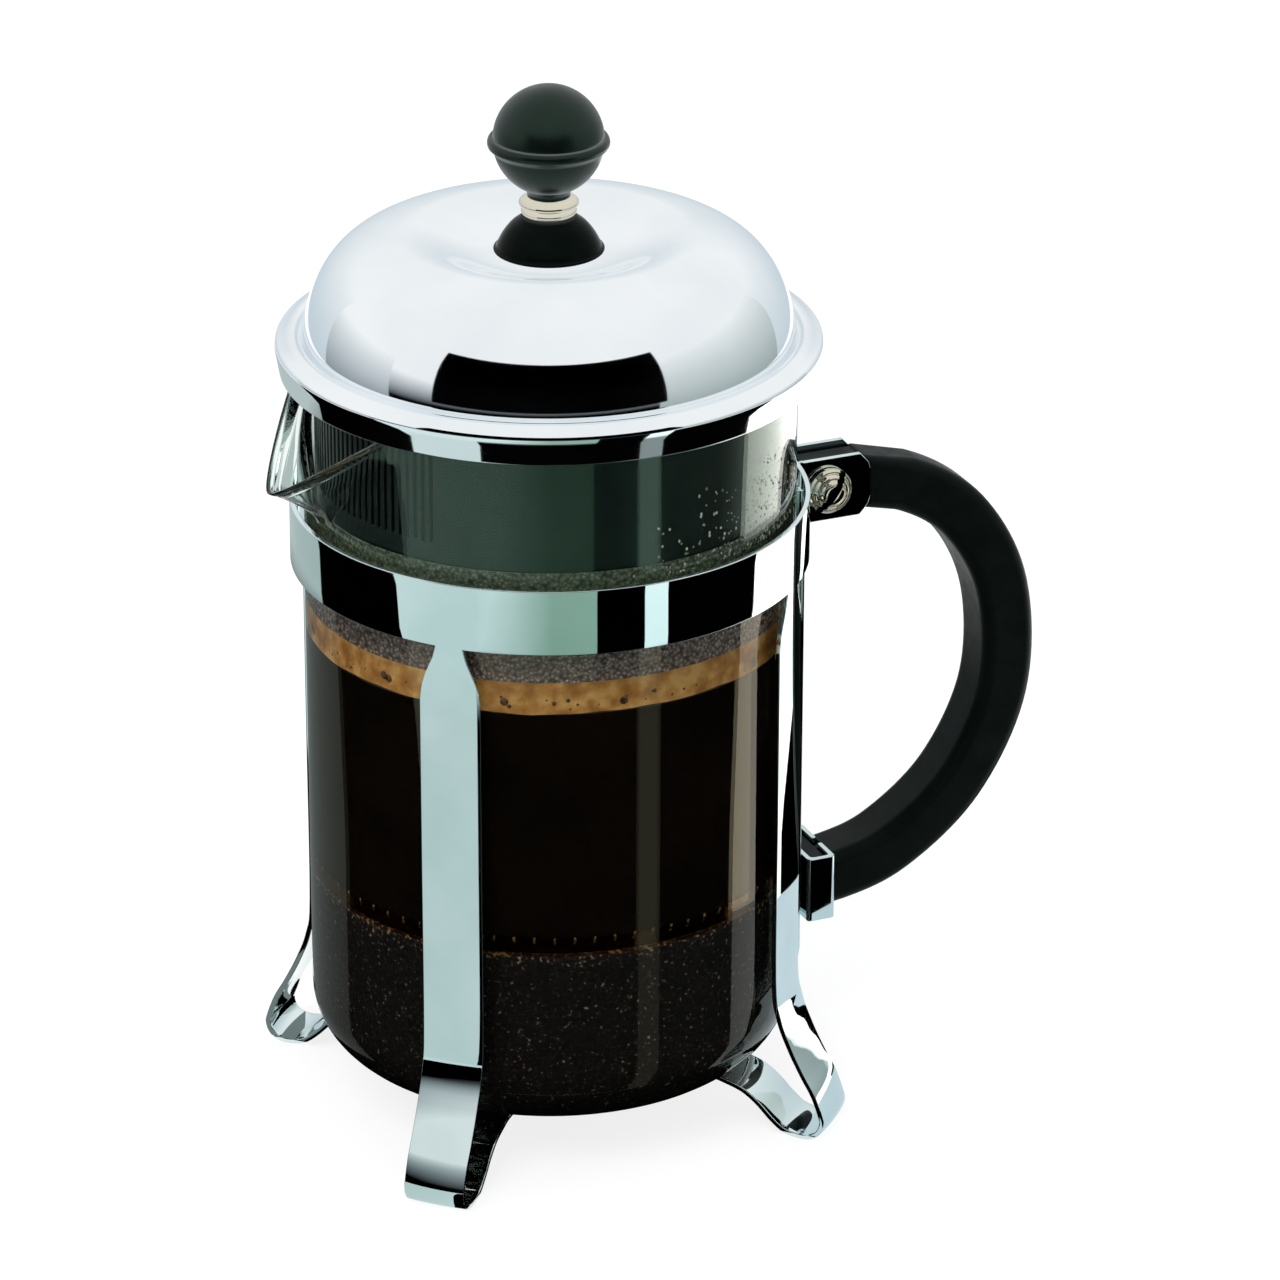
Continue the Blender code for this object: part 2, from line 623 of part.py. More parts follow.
def make_knob(parent):
    """Ball knob: metal insert, lower cup with a belt, and upper cap."""
    base = SEAT_LOW_Z + SEAT_HEIGHT + GAP + 1.2 + GAP
    bore = ROD_R + GAP
    insert = [(bore, base), (4.7, base), (5.1, base + 0.35), (5.1, base + 0.9), (4.6, base + 1.3),
              (3.2, base + 1.5), (3.2, base + 8.0), (bore, base + 8.0)]
    turned("knob_insert", insert, "nickel", parent, 24)
    seat = base + 1.5 + GAP
    hole = 3.2 + GAP
    centre = KNOB_CENTRE_Z
    belt_z = centre - 0.4
    cup = [(hole, seat), (3.65, seat), (3.6, seat + 0.6), (4.3, centre - 8.25)]
    cup += arc(0.0, centre, KNOB_R, -52.0, -12.0, 4)
    cup += [(9.9, belt_z - 0.9), (10.3, belt_z), (10.0, belt_z + 0.9), (9.5, belt_z + 1.0),
            (8.0, belt_z + 1.0), (8.0, belt_z - 3.0), (hole, belt_z - 3.0)]
    turned("knob_cup", cup, "black_plastic", parent, 28)
    inner = 7.7
    floor = belt_z - 3.0 + GAP
    start = math.degrees(math.asin((belt_z + 1.0 + GAP - centre) / KNOB_R))
    cap = [(0.0, centre + 1.4), (5.0, centre + 1.4), (5.0, floor), (inner, floor), (inner, belt_z + 1.0 + GAP)]
    cap += arc(0.0, centre, KNOB_R, start, 90.0, 6)[:-1] + [(0.0, centre + KNOB_R)]
    turned("knob_cap", cap, "black_plastic", parent, 28)


def perforated_disc(name, radii, holes_in, columns, height, kind, parent, thickness):
    """Flat ring plate with every second cell of some rings left out as a hole."""
    mesh_edit = bmesh.new()
    rows = []
    for radius in radii:
        rows.append([mesh_edit.verts.new((radius * math.cos(2 * math.pi * c / columns),
                                          radius * math.sin(2 * math.pi * c / columns), height))
                     for c in range(columns)])
    for ring in range(len(radii) - 1):
        for c in range(columns):
            if ring in holes_in and c % 2 == 0:
                continue
            following = (c + 1) % columns
            mesh_edit.faces.new((rows[ring][c], rows[ring + 1][c], rows[ring + 1][following],
                                 rows[ring][following]))
    plate = to_object(name, mesh_edit, kind, parent)
    thicken(plate, thickness, 0.0)
    return plate


def make_filter(parent):
    """Stack on the rod's end: spiral plate with its rim spring, mesh screen, cross plate and hub."""
    bore = ROD_R + GAP
    z = FILTER_Z
    perforated_disc("spiral_plate", [4.2, 8.0, 13.0, 18.0, 23.0, 28.0, 36.2], (1, 3), 24, z + 1.0,
                    "steel", parent, 0.6)
    spring_r, coil = 38.7, 1.25
    ring = arc(spring_r, z + 1.0, coil, 0.0, 315.0, 7)
    turned("rim_spring", ring, "steel", parent)
    screen = [(bore, z), (35.8, z), (38.6, z - 0.9), (38.9, z - 1.9), (38.4, z - 1.9), (35.5, z - 0.5),
              (bore, z - 0.5)]
    turned("mesh_screen", screen, "steel", parent)
    mesh_edit = bmesh.new()
    inner, ring_inner, outer = 5.4, 30.0, 34.0
    sides = 32
    rows = []
    for radius in (inner, ring_inner, outer):
        rows.append([mesh_edit.verts.new((radius * math.cos(2 * math.pi * s / sides),
                                          radius * math.sin(2 * math.pi * s / sides), z - 1.3))
                     for s in range(sides)])
    for s in range(sides):
        following = (s + 1) % sides
        if s % 8 in (0, 7):
            mesh_edit.faces.new((rows[0][s], rows[1][s], rows[1][following], rows[0][following]))
        mesh_edit.faces.new((rows[1][s], rows[2][s], rows[2][following], rows[1][following]))
    for vert in rows[0]:
        if not vert.link_faces:
            mesh_edit.verts.remove(vert)
    cross = to_object("cross_plate", mesh_edit, "steel", parent)
    thicken(cross, 0.8, 0.0)
    hub = [(bore, z - 3.6), (3.9, z - 3.6), (5.0, z - 2.9), (5.0, z - 0.8), (bore, z - 0.8)]
    turned("filter_hub", hub, "brass", parent, 20)
    return cross


def build():
    """Make every piece under the empty of the group that it moves with."""
    clear_scene()
    vessel_axis = empty_on_axis("vessel_axis")
    beaker_axis = empty_on_axis("beaker_axis", vessel_axis)
    lid_axis = empty_on_axis("lid_axis", beaker_axis)
    plunger_axis = empty_on_axis("plunger_axis", lid_axis)
    knob_axis = empty_on_axis("knob_axis", plunger_axis)
    filter_axis = empty_on_axis("filter_axis", plunger_axis)
    make_stand(vessel_axis)
    make_strap(vessel_axis)
    make_bracket(vessel_axis)
    make_grip(vessel_axis)
    make_clamp(vessel_axis)
    make_beaker(beaker_axis)
    make_lid_shell(lid_axis)
    make_liner(lid_axis)
    make_knob_seat(lid_axis)
    make_rod(plunger_axis)
    make_knob(knob_axis)
    make_filter(filter_axis)


build()
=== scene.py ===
"""Looks of a four-cup french press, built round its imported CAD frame.

Every outline below is in millimetres from the vessel's vertical axis; place() turns it into the frame's metres.
The handle points along +X, the spout along -X, and the feet stand on Z = 0.
"""

import math
import random

import bmesh
import bpy
from mathutils import Matrix, Vector


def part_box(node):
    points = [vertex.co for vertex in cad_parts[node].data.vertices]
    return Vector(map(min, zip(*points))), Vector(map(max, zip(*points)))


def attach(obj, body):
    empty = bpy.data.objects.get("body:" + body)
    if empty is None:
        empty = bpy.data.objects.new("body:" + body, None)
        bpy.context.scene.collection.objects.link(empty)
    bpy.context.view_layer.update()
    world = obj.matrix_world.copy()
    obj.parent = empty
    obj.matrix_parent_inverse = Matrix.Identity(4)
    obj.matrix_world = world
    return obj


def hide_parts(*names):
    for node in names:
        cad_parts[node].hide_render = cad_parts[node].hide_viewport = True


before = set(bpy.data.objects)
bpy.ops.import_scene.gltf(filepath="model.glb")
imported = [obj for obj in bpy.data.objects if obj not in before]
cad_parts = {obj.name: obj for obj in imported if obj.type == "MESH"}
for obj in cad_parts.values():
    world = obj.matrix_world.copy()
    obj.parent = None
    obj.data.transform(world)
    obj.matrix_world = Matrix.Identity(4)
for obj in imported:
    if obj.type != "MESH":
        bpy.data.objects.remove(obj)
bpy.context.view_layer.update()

MM = 0.001
LOW, HIGH = 0, 1


def cad(node, axis, side):
    """One side of a CAD node's box in millimetres, axis 0 to 2."""
    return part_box(node)[side][axis] / MM


# ---------------------------------------------------------------- sizes, from the frame where it has them

AXIS_X = (cad("rim_spring", 0, LOW) + cad("rim_spring", 0, HIGH)) / 2.0
GAP = 0.3
ROUND = 192               # segments of a large turned piece

GLASS_R = cad("glass_beaker", 1, HIGH)
GLASS_WALL = 1.7
GLASS_BASE_Z = cad("glass_beaker", 2, LOW)
GLASS_RIM_Z = cad("glass_beaker", 2, HIGH)
GLASS_CORNER = 11.5
GLASS_FLOOR_Z = GLASS_BASE_Z + 2.0
GLASS_INNER_R = GLASS_R - GLASS_WALL
SPOUT_HALF_ANGLE = 32.0
SPOUT_DIP = 17.8
SPOUT_REACH = 9.4
SPOUT_FADE = 7.5
SPOUT_START_Z = 108.0
LIP_ROUNDING = 2.0        # degrees over which the lip's tip is rounded

SHEET = 0.9
BAND_R = 44.4
SHEET_MID_R = BAND_R - SHEET / 2.0
BAND_LOW_Z = 101.3
BAND_TOP_Z = cad("stand_frame", 2, HIGH)
LEG_HALF_WIDTH = 5.45
NECK_HALF_WIDTH = 2.5
LEG_FULL_Z = 91.4         # below this a leg has its full width
LEG_ANGLES = (45.0, 135.0, 225.0, 315.0)
LEG_STEPS = tuple(step / 5.0 for step in range(-5, 6))   # across a leg, in half widths
EAR_GAP_HALF = 3.2
EAR_END_R = cad("stand_frame", 0, HIGH) - AXIS_X
EAR_DROP = 1.0
EAR_BULGE = 1.8
EAR_BEND = 1.8            # length of collar taken up by the bend into an ear
BOLT_R_POS = (cad("clamp_washer", 0, LOW) + cad("clamp_washer", 0, HIGH)) / 2.0 - AXIS_X
BOLT_Z = (cad("clamp_washer", 2, LOW) + cad("clamp_washer", 2, HIGH)) / 2.0
BOLT_SHANK_R = 2.0
DRILL_LENGTH = 30.0
WASHER_R, WASHER_SHEET = 4.4, 0.8
HEXAGON = math.cos(math.radians(30.0))   # half width over corner radius of a hexagon

STRAP_R = 46.0
STRAP_LOW_Z = cad("handle_strap", 2, LOW)
STRAP_SHEET = 0.8
BRACKET_LOW_Z = cad("handle_bracket", 2, LOW)
BRACKET_TOP_Z = cad("handle_bracket", 2, HIGH)
BRACKET_OUT_R = cad("handle_bracket", 0, HIGH) - AXIS_X
BRACKET_HALF_WIDTH = cad("handle_bracket", 1, HIGH)
BRACKET_WALL = 0.9

DOME_R = 41.7
DOME_LOW_Z = 141.8
DOME_HEIGHT = 17.8
DISH_R = 26.0
DISH_DEPTH = 3.9
FLANGE_R = 46.5
SKIRT_LOW_Z = cad("lid_shell", 2, LOW)
LID_SHEET = 0.8

LINER_R = 39.9
LINER_LOW_Z = cad("lid_liner", 2, LOW)
LINER_TOP_Z = cad("lid_liner", 2, HIGH)
LINER_DECK_Z = 138.0
LINER_WALL = 1.2
SLOT_COUNT = 36
SLOT_PITCH = 2.2          # degrees
SLOT_HALF_WIDTH = 0.42    # degrees

ROD_R = 2.0
SEAT_LOW_Z = 156.2
SEAT_HEIGHT = 6.1
KNOB_R = 9.4
KNOB_CENTRE_Z = cad("knob_cap", 2, HIGH) - KNOB_R
FILTER_Z = cad("rim_spring", 2, LOW) + 0.25
SPRING_R = 38.7
SPRING_COIL = 1.25

# Contents of the beaker
COFFEE_R = GLASS_INNER_R + 0.15   # contents reach a little into the glass, so that no air shows between
FILM_R = GLASS_INNER_R - 0.12
FILM_OUT_R = COFFEE_R + 0.04      # films and foam reach a hair further, so that they cover the coffee
CREMA_LOW_Z = 89.4
CREMA_TOP_Z = 95.0
GROUNDS_TOP_Z = 44.6
SPRING_WINDOW_TOP_Z = 47.9
FOG_TOP_Z = BAND_TOP_Z - 3.0

# Camera and stage
VIEW_AZIMUTH = -22.65     # degrees; the camera stands on the spout's side of the front
CAMERA_DISTANCE = 1030.8
CAMERA_Z = 540.0
CAMERA_AIM = (14.1, -6.2, 84.7)
CAMERA_ROLL = 0.13        # degrees
CAMERA_LENS = 184.2
SENSOR = 36.0


# ---------------------------------------------------------------- materials

WARM_PAINTED_SHEEN = (1.0, 0.82, 0.55, 1.0)    # painted warm tint of reflections, for the glass where coffee is behind it and for the coffee
CLEAR_PAINTED_SHEEN = (0.46, 0.63, 0.52, 1.0)    # painted dimmer, greener tint of reflections from clear glass
PLASTIC_SHEEN = (0.62, 1.0, 0.82, 1.0)
WATER_IOR, GLASS_IOR, PLASTIC_IOR = 1.33, 1.47, 1.49

# Colours are display values from 0 to 255, grain counts features per metre and relief is in millimetres.
# Short name: material, dark and light colour, lowest and highest roughness, grain, relief and, if any, stretch.
METALS = {
    "stand": ("stand_chrome", (205, 222, 222), (226, 238, 238), 0.015, 0.045, 55.0, 0.006),
    "lid": ("lid_chrome", (234, 240, 244), (246, 250, 252), 0.025, 0.06, 40.0, 0.012),
    "nickel": ("fastener_nickel", (196, 190, 168), (220, 214, 196), 0.05, 0.13, 900.0, 0.012),
    # slot_shade is painted shade: dark nickel for the faces inside the bolt's slot.
    "slot_shade": ("painted_slot_shade", (22, 20, 17), (38, 35, 30), 0.3, 0.45, 900.0, 0.01),
    "steel": ("filter_steel", (176, 176, 172), (204, 203, 198), 0.18, 0.34, 1200.0, 0.008, (1.0, 0.08, 1.0)),
    "brass": ("hub_brass", (190, 150, 86), (214, 178, 112), 0.2, 0.36, 700.0, 0.01),
}
# Short name: as above, with how strongly the plastic mirrors at the end.
PLASTICS = {
    "grip": ("handle_plastic", (4, 7, 6), (8, 11, 10), 0.34, 0.44, 2600.0, 0.03, 0.08),
    "knob": ("knob_plastic", (3, 6, 5), (7, 11, 9), 0.28, 0.36, 3200.0, 0.03, 0.40),
    "seat": ("seat_plastic", (3, 6, 5), (6, 9, 8), 0.20, 0.30, 3200.0, 0.02, 0.04),
    "liner": ("liner_plastic", (9, 14, 12), (15, 22, 19), 0.28, 0.38, 1500.0, 0.01, 0.3),
}
# Short name: material, pattern, its grain and detail, colours by place in the pattern, grain of the polish,
# lowest and highest roughness, and plain values of the shader. These are the coffee, what floats on it and
# clings to the glass over it, and the thin coffee between the rim spring and the glass.
CONTENTS = {
    # The coffee and the thin coffee take the painted warm tint of reflections as their specular tint.
    "coffee": ("coffee", "noise", 60.0, 3.0, ((0.35, (9, 6, 4)), (0.65, (16, 10, 6))),
               90.0, 0.01, 0.04, {"Specular_Tint": WARM_PAINTED_SHEEN}),
    "crema": ("crema", "noise", 320.0, 6.0,
              ((0.36, (150, 98, 42)), (0.5, (178, 124, 60)), (0.64, (204, 156, 90))),
              500.0, 0.4, 0.6, {"Specular_IOR_Level": 0.2}),
    "bubble": ("crema_bubble", "noise", 900.0, 3.0, ((0.4, (58, 34, 16)), (0.6, (92, 58, 28))),
               900.0, 0.2, 0.4, {}),
    "fog": ("condensation", "cells", 1500.0, 3.0,
            ((0.02, (216, 206, 196)), (0.16, (150, 136, 126)), (0.5, (102, 88, 80)), (0.8, (66, 52, 45))),
            900.0, 0.15, 0.35, {}),
    "haze": ("haze", "cells", 1500.0, 3.0,
             ((0.05, (128, 136, 114)), (0.25, (88, 98, 80)), (0.6, (66, 76, 61)), (0.85, (44, 52, 42))),
             900.0, 0.2, 0.4, {"Specular_IOR_Level": 0.2}),
    "water": ("water_drops", "noise", 800.0, 3.0, ((0.3, (240, 246, 244)), (0.7, (252, 254, 253))),
              800.0, 0.0, 0.02, {"Transmission_Weight": 1.0, "IOR": WATER_IOR}),
    "dew": ("dew", "noise", 800.0, 3.0, ((0.35, (96, 104, 90)), (0.65, (176, 184, 166))),
            800.0, 0.05, 0.15, {"Transmission_Weight": 0.35, "IOR": WATER_IOR}),
    "film": ("thin_coffee", "noise", 300.0, 3.0, ((0.3, (214, 142, 74)), (0.7, (228, 160, 92))),
             300.0, 0.0, 0.03, {"Transmission_Weight": 1.0, "IOR": GLASS_IOR, "Specular_Tint": WARM_PAINTED_SHEEN}),
}
LOOKS = {}                # materials by short name


def from_srgb(red, green, blue):
    """A display colour from 0 to 255 a channel as a linear one."""
    linear = []
    for value in (red, green, blue):
        share = value / 255.0
        linear.append(share / 12.92 if share <= 0.04045 else ((share + 0.055) / 1.055) ** 2.4)
    return (*linear, 1.0)


def new_look(name, **sockets):
    """A material with one Principled shader; sockets are its plain values, with _ for a space."""
    material = bpy.data.materials.new(name)
    material.use_nodes = True
    shader = material.node_tree.nodes["Principled BSDF"]
    for socket, value in sockets.items():
        shader.inputs[socket.replace("_", " ")].default_value = value
    return material


def pattern(material, kind, scale, stretch=(1.0, 1.0, 1.0), detail=3.0):
    """A noise or cell texture in the piece's own coordinates; scale counts features per metre."""
    nodes, links = material.node_tree.nodes, material.node_tree.links
    where = nodes.new("ShaderNodeTexCoord")
    mapping = nodes.new("ShaderNodeMapping")
    mapping.inputs["Scale"].default_value = stretch
    links.new(where.outputs["Object"], mapping.inputs["Vector"])
    if kind == "cells":
        texture = nodes.new("ShaderNodeTexVoronoi")
        result = texture.outputs["Distance"]
    else:
        texture = nodes.new("ShaderNodeTexNoise")
        texture.inputs["Detail"].default_value = detail
        result = texture.outputs["Fac"]
    texture.inputs["Scale"].default_value = scale
    links.new(mapping.outputs["Vector"], texture.inputs["Vector"])
    return result


def climb(material, low, high, top):
    """A value that rises from 0 to top between two heights in millimetres."""
    nodes, links = material.node_tree.nodes, material.node_tree.links
    where = nodes.new("ShaderNodeTexCoord")
    split = nodes.new("ShaderNodeSeparateXYZ")
    links.new(where.outputs["Object"], split.inputs["Vector"])
    rise = nodes.new("ShaderNodeMapRange")
    rise.inputs["From Min"].default_value = low * MM
    rise.inputs["From Max"].default_value = high * MM
    rise.inputs["To Max"].default_value = top
    links.new(split.outputs["Z"], rise.inputs["Value"])
    return rise.outputs["Result"]


def vary_colour(material, source, stops):
    """Base colour from a pattern through a ramp of (position, display colour)."""
    nodes, links = material.node_tree.nodes, material.node_tree.links
    ramp = nodes.new("ShaderNodeValToRGB")
    elements = ramp.color_ramp.elements
    while len(elements) < len(stops):
        elements.new(0.5)
    for element, (position, colour) in zip(elements, stops):
        element.position = position
        element.color = from_srgb(*colour)
    links.new(source, ramp.inputs["Fac"])
    links.new(ramp.outputs["Color"], nodes["Principled BSDF"].inputs["Base Color"])


def vary_roughness(material, source, low, high):
    """Roughness between low and high as a pattern says."""
    nodes, links = material.node_tree.nodes, material.node_tree.links
    spread = nodes.new("ShaderNodeMapRange")
    spread.inputs["From Min"].default_value = 0.3
    spread.inputs["From Max"].default_value = 0.7
    spread.inputs["To Min"].default_value = low
    spread.inputs["To Max"].default_value = high
    links.new(source, spread.inputs["Value"])
    links.new(spread.outputs["Result"], nodes["Principled BSDF"].inputs["Roughness"])


def add_bump(material, source, depth, strength=1.0):
    """Surface relief of a pattern, depth in millimetres."""
    nodes, links = material.node_tree.nodes, material.node_tree.links
    bump = nodes.new("ShaderNodeBump")
    bump.inputs["Strength"].default_value = strength
    bump.inputs["Distance"].default_value = depth * MM
    links.new(source, bump.inputs["Height"])
    links.new(bump.outputs["Normal"], nodes["Principled BSDF"].inputs["Normal"])


def metal(name, dark, light, rough_low, rough_high, grain, relief, stretch=(1.0, 1.0, 1.0)):
    """Metal with soft colour drift, uneven polish and a fine relief."""
    material = new_look(name, Metallic=1.0)
    vary_colour(material, pattern(material, "noise", 45.0), ((0.3, dark), (0.7, light)))
    vary_roughness(material, pattern(material, "noise", grain, stretch, 4.0), rough_low, rough_high)
    add_bump(material, pattern(material, "noise", grain, stretch, 2.0), relief, 0.6)
    return material


def plastic(name, dark, light, rough_low, rough_high, grain, relief, sheen):
    """Moulded plastic with spark-eroded grain; sheen scales what it mirrors."""
    material = new_look(name, IOR=PLASTIC_IOR, Specular_IOR_Level=sheen, Specular_Tint=PLASTIC_SHEEN)
    vary_colour(material, pattern(material, "noise", 180.0, detail=6.0), ((0.35, dark), (0.65, light)))
    vary_roughness(material, pattern(material, "noise", 420.0), rough_low, rough_high)
    add_bump(material, pattern(material, "noise", grain, detail=2.0), relief, 0.7)
    return material


def make_looks():
    """All materials of the object, by short name."""
    for look, values in METALS.items():
        LOOKS[look] = metal(*values)
    for look, values in PLASTICS.items():
        LOOKS[look] = plastic(*values)
    for look, (name, kind, scale, detail, stops, grain, rough_low, rough_high, sockets) in CONTENTS.items():
        material = new_look(name, **sockets)
        vary_colour(material, pattern(material, kind, scale, detail=detail), stops)
        vary_roughness(material, pattern(material, "noise", grain), rough_low, rough_high)
        LOOKS[look] = material
    for look, scale, relief in (("crema", 1400.0, 0.05), ("fog", 1500.0, 0.2), ("haze", 1500.0, 0.05)):
        add_bump(LOOKS[look], pattern(LOOKS[look], "cells", scale), relief)
    LOOKS["grounds"] = make_grounds_look()
    LOOKS["glass"] = make_glass_look()
    LOOKS["screen"] = make_screen_look()


def make_glass_look():
    """Borosilicate glass: faint green tint, barely wavy, with a painted reflection tint by height: warmer low
    down, where coffee backs it, dimmer and greener over the collar.
    """
    material = new_look("beaker_glass", Transmission_Weight=1.0, IOR=GLASS_IOR)
    vary_colour(material, pattern(material, "noise", 30.0),
                ((0.3, (238, 248, 244)), (0.7, (246, 252, 249))))
    vary_roughness(material, pattern(material, "noise", 120.0), 0.0, 0.012)
    add_bump(material, pattern(material, "noise", 70.0, (1.0, 1.0, 0.35), 1.0), 0.02, 0.5)
    nodes, links = material.node_tree.nodes, material.node_tree.links
    # Painted reflection: the specular tint is set by height, warm below the collar and dim green above it.
    ramp = nodes.new("ShaderNodeValToRGB")
    ramp.color_ramp.elements[0].color = WARM_PAINTED_SHEEN
    ramp.color_ramp.elements[1].color = CLEAR_PAINTED_SHEEN
    links.new(climb(material, BAND_LOW_Z + 2.0, BAND_TOP_Z - 2.0, 1.0), ramp.inputs["Fac"])
    links.new(ramp.outputs["Color"], nodes["Principled BSDF"].inputs["Specular Tint"])
    return material


def make_screen_look():
    """Woven steel mesh: two crossed sets of fine wires as relief and shade."""
    material = new_look("screen_steel", Metallic=1.0)
    nodes, links = material.node_tree.nodes, material.node_tree.links
    where = nodes.new("ShaderNodeTexCoord")
    waves = []
    for direction in ("X", "Y"):
        wave = nodes.new("ShaderNodeTexWave")
        wave.bands_direction = direction
        wave.inputs["Scale"].default_value = 420.0
        wave.inputs["Distortion"].default_value = 0.0
        links.new(where.outputs["Object"], wave.inputs["Vector"])
        waves.append(wave.outputs["Fac"])
    weave = nodes.new("ShaderNodeMath")
    weave.operation = "MAXIMUM"
    links.new(waves[0], weave.inputs[0])
    links.new(waves[1], weave.inputs[1])
    vary_colour(material, weave.outputs["Value"],
                ((0.35, (38, 34, 30)), (0.75, (196, 194, 188))))
    vary_roughness(material, pattern(material, "noise", 600.0), 0.25, 0.4)
    add_bump(material, weave.outputs["Value"], 0.12)
    return material


def make_grounds_look():
    """Coffee grounds with pale grains, more of them near the top of the cake."""
    material = new_look("grounds", Specular_IOR_Level=0.15)
    nodes, links = material.node_tree.nodes, material.node_tree.links
    lift = nodes.new("ShaderNodeMath")
    links.new(pattern(material, "noise", 1500.0, detail=8.0), lift.inputs[0])
    links.new(climb(material, GROUNDS_TOP_Z - 3.0, GROUNDS_TOP_Z, 0.09), lift.inputs[1])
    vary_colour(material, lift.outputs["Value"],
                ((0.42, (5, 3, 2)), (0.58, (18, 12, 8)), (0.66, (46, 34, 24)), (0.72, (128, 112, 92))))
    vary_roughness(material, pattern(material, "noise", 700.0), 0.5, 0.75)
    add_bump(material, pattern(material, "noise", 1300.0, detail=6.0), 0.35)
    return material


# ---------------------------------------------------------------- mesh helpers

def place(point):
    """A point in millimetres from the vessel's axis as one of the frame in metres."""
    return Vector(((point[0] + AXIS_X) * MM, point[1] * MM, point[2] * MM))


PIECES = []
NOT_MIRRORED = ("seat_bell", "rod_bar", "lock_ring_turned", "knob_ferrule", "knob_lower", "knob_upper")


def add_object(name, data):
    """A new object in the scene."""
    obj = bpy.data.objects.new(name, data)
    bpy.context.scene.collection.objects.link(obj)
    return obj


def finish_piece(name, mesh_edit, look, body, node=None, crease=35.0):
    """Turn an edited mesh into a piece that rides on body and stands for a CAD node."""
    bmesh.ops.remove_doubles(mesh_edit, verts=mesh_edit.verts, dist=0.0004)
    bmesh.ops.recalc_face_normals(mesh_edit, faces=mesh_edit.faces)
    for vert in mesh_edit.verts:
        vert.co = place(vert.co)
    mesh = bpy.data.meshes.new(name)
    mesh_edit.to_mesh(mesh)
    mesh_edit.free()
    mesh.shade_smooth()
    mesh.set_sharp_from_angle(angle=math.radians(crease))
    mesh.materials.append(LOOKS[look])
    obj = add_object(name, mesh)
    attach(obj, body)
    if node:
        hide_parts(node)
    PIECES.append(obj)
    return obj


def arc(centre_r, centre_z, radius, start, end, steps):
    """Points of a circular arc in the (radius, height) plane, angles in degrees."""
    points = []
    for step in range(steps + 1):
        angle = math.radians(start + (end - start) * step / steps)
        points.append((centre_r + radius * math.cos(angle), centre_z + radius * math.sin(angle)))
    return points


def soften(outline, radius, steps=4):
    """Round the sharp corners of a closed outline, staying inside it."""
    result = []
    count = len(outline)
    for index in range(count):
        here = Vector(outline[index])
        before = Vector(outline[index - 1]) - here
        after = Vector(outline[(index + 1) % count]) - here
        turn = math.pi - before.angle(after, math.pi)
        if turn < math.radians(20.0) or here.x == 0.0:
            result.append(tuple(here))
            continue
        reach = min(radius, 0.4 * before.length, 0.4 * after.length)
        first = here + before.normalized() * reach
        last = here + after.normalized() * reach
        for step in range(steps + 1):
            share = step / steps
            point = first * (1.0 - share) ** 2 + here * 2.0 * share * (1.0 - share) + last * share ** 2
            result.append(tuple(point))
    return result


def join_columns(mesh_edit, here, there, closed=False, skip=()):
    """Faces between two columns of vertices, which may share some; skip names rows left open."""
    count = len(here)
    for row in range(count if closed else count - 1):
        following = (row + 1) % count
        corners = []
        for vert in (here[row], here[following], there[following], there[row]):
            if vert not in corners:
                corners.append(vert)
        if len(corners) > 2 and row not in skip:
            mesh_edit.faces.new(corners)


def spin(mesh_edit, outline, segments=ROUND):
    """Spin a closed outline of (radius, height) points about the vessel's axis."""
    columns = []
    for step in range(segments):
        angle = 2.0 * math.pi * step / segments
        column = []
        for radius, height in outline:
            if radius == 0.0 and step > 0:
                column.append(columns[0][len(column)])
                continue
            column.append(mesh_edit.verts.new((radius * math.cos(angle), radius * math.sin(angle), height)))
        columns.append(column)
    for step in range(segments):
        join_columns(mesh_edit, columns[step], columns[(step + 1) % segments], closed=True)


def turned(name, outline, look, body, node=None, segments=ROUND, rounding=0.12):
    """A turned piece with softened corners."""
    mesh_edit = bmesh.new()
    spin(mesh_edit, soften(outline, rounding), segments)
    return finish_piece(name, mesh_edit, look, body, node)


def smooth_line(guides, per_span, before=None, after=None):
    """Catmull-Rom curve through all the guide points; before and after steer its ends."""
    points = [Vector(guide) for guide in guides]
    first = Vector(before) if before else points[0] * 2.0 - points[1]
    last = Vector(after) if after else points[-1] * 2.0 - points[-2]
    ends = [first, *points, last]
    result = []
    for index in range(len(points) - 1):
        a, b, c, d = ends[index:index + 4]
        for step in range(per_span):
            share = step / per_span
            result.append(0.5 * (2.0 * b + (c - a) * share + (2.0 * a - 5.0 * b + 4.0 * c - d) * share ** 2
                                 + (3.0 * b - a - 3.0 * c + d) * share ** 3))
    result.append(points[-1])
    return result


def skin(mesh_edit, rings, closed_ring=True, capped=True):
    """Faces between a row of rings of points; returns the rings of vertices."""
    grid = [[mesh_edit.verts.new(point) for point in ring] for ring in rings]
    for before, after in zip(grid, grid[1:]):
        join_columns(mesh_edit, before, after, closed_ring)
    if capped:
        mesh_edit.faces.new(grid[0])
        mesh_edit.faces.new(list(reversed(grid[-1])))
    return grid


def add_thickness(obj, thickness):
    """Turn a sheet into a plate, half to each side."""
    solidify = obj.modifiers.new("thickness", "SOLIDIFY")
    solidify.thickness = thickness * MM
    solidify.offset = 0.0
    solidify.use_even_offset = True


def round_edges(obj, width, limit, segments):
    """Round every edge sharper than limit degrees and settle the piece."""
    bevel = obj.modifiers.new("rounded_edges", "BEVEL")
    bevel.width = width * MM
    bevel.segments = segments
    bevel.limit_method = "ANGLE"
    bevel.angle_limit = math.radians(limit)
    settle(obj)


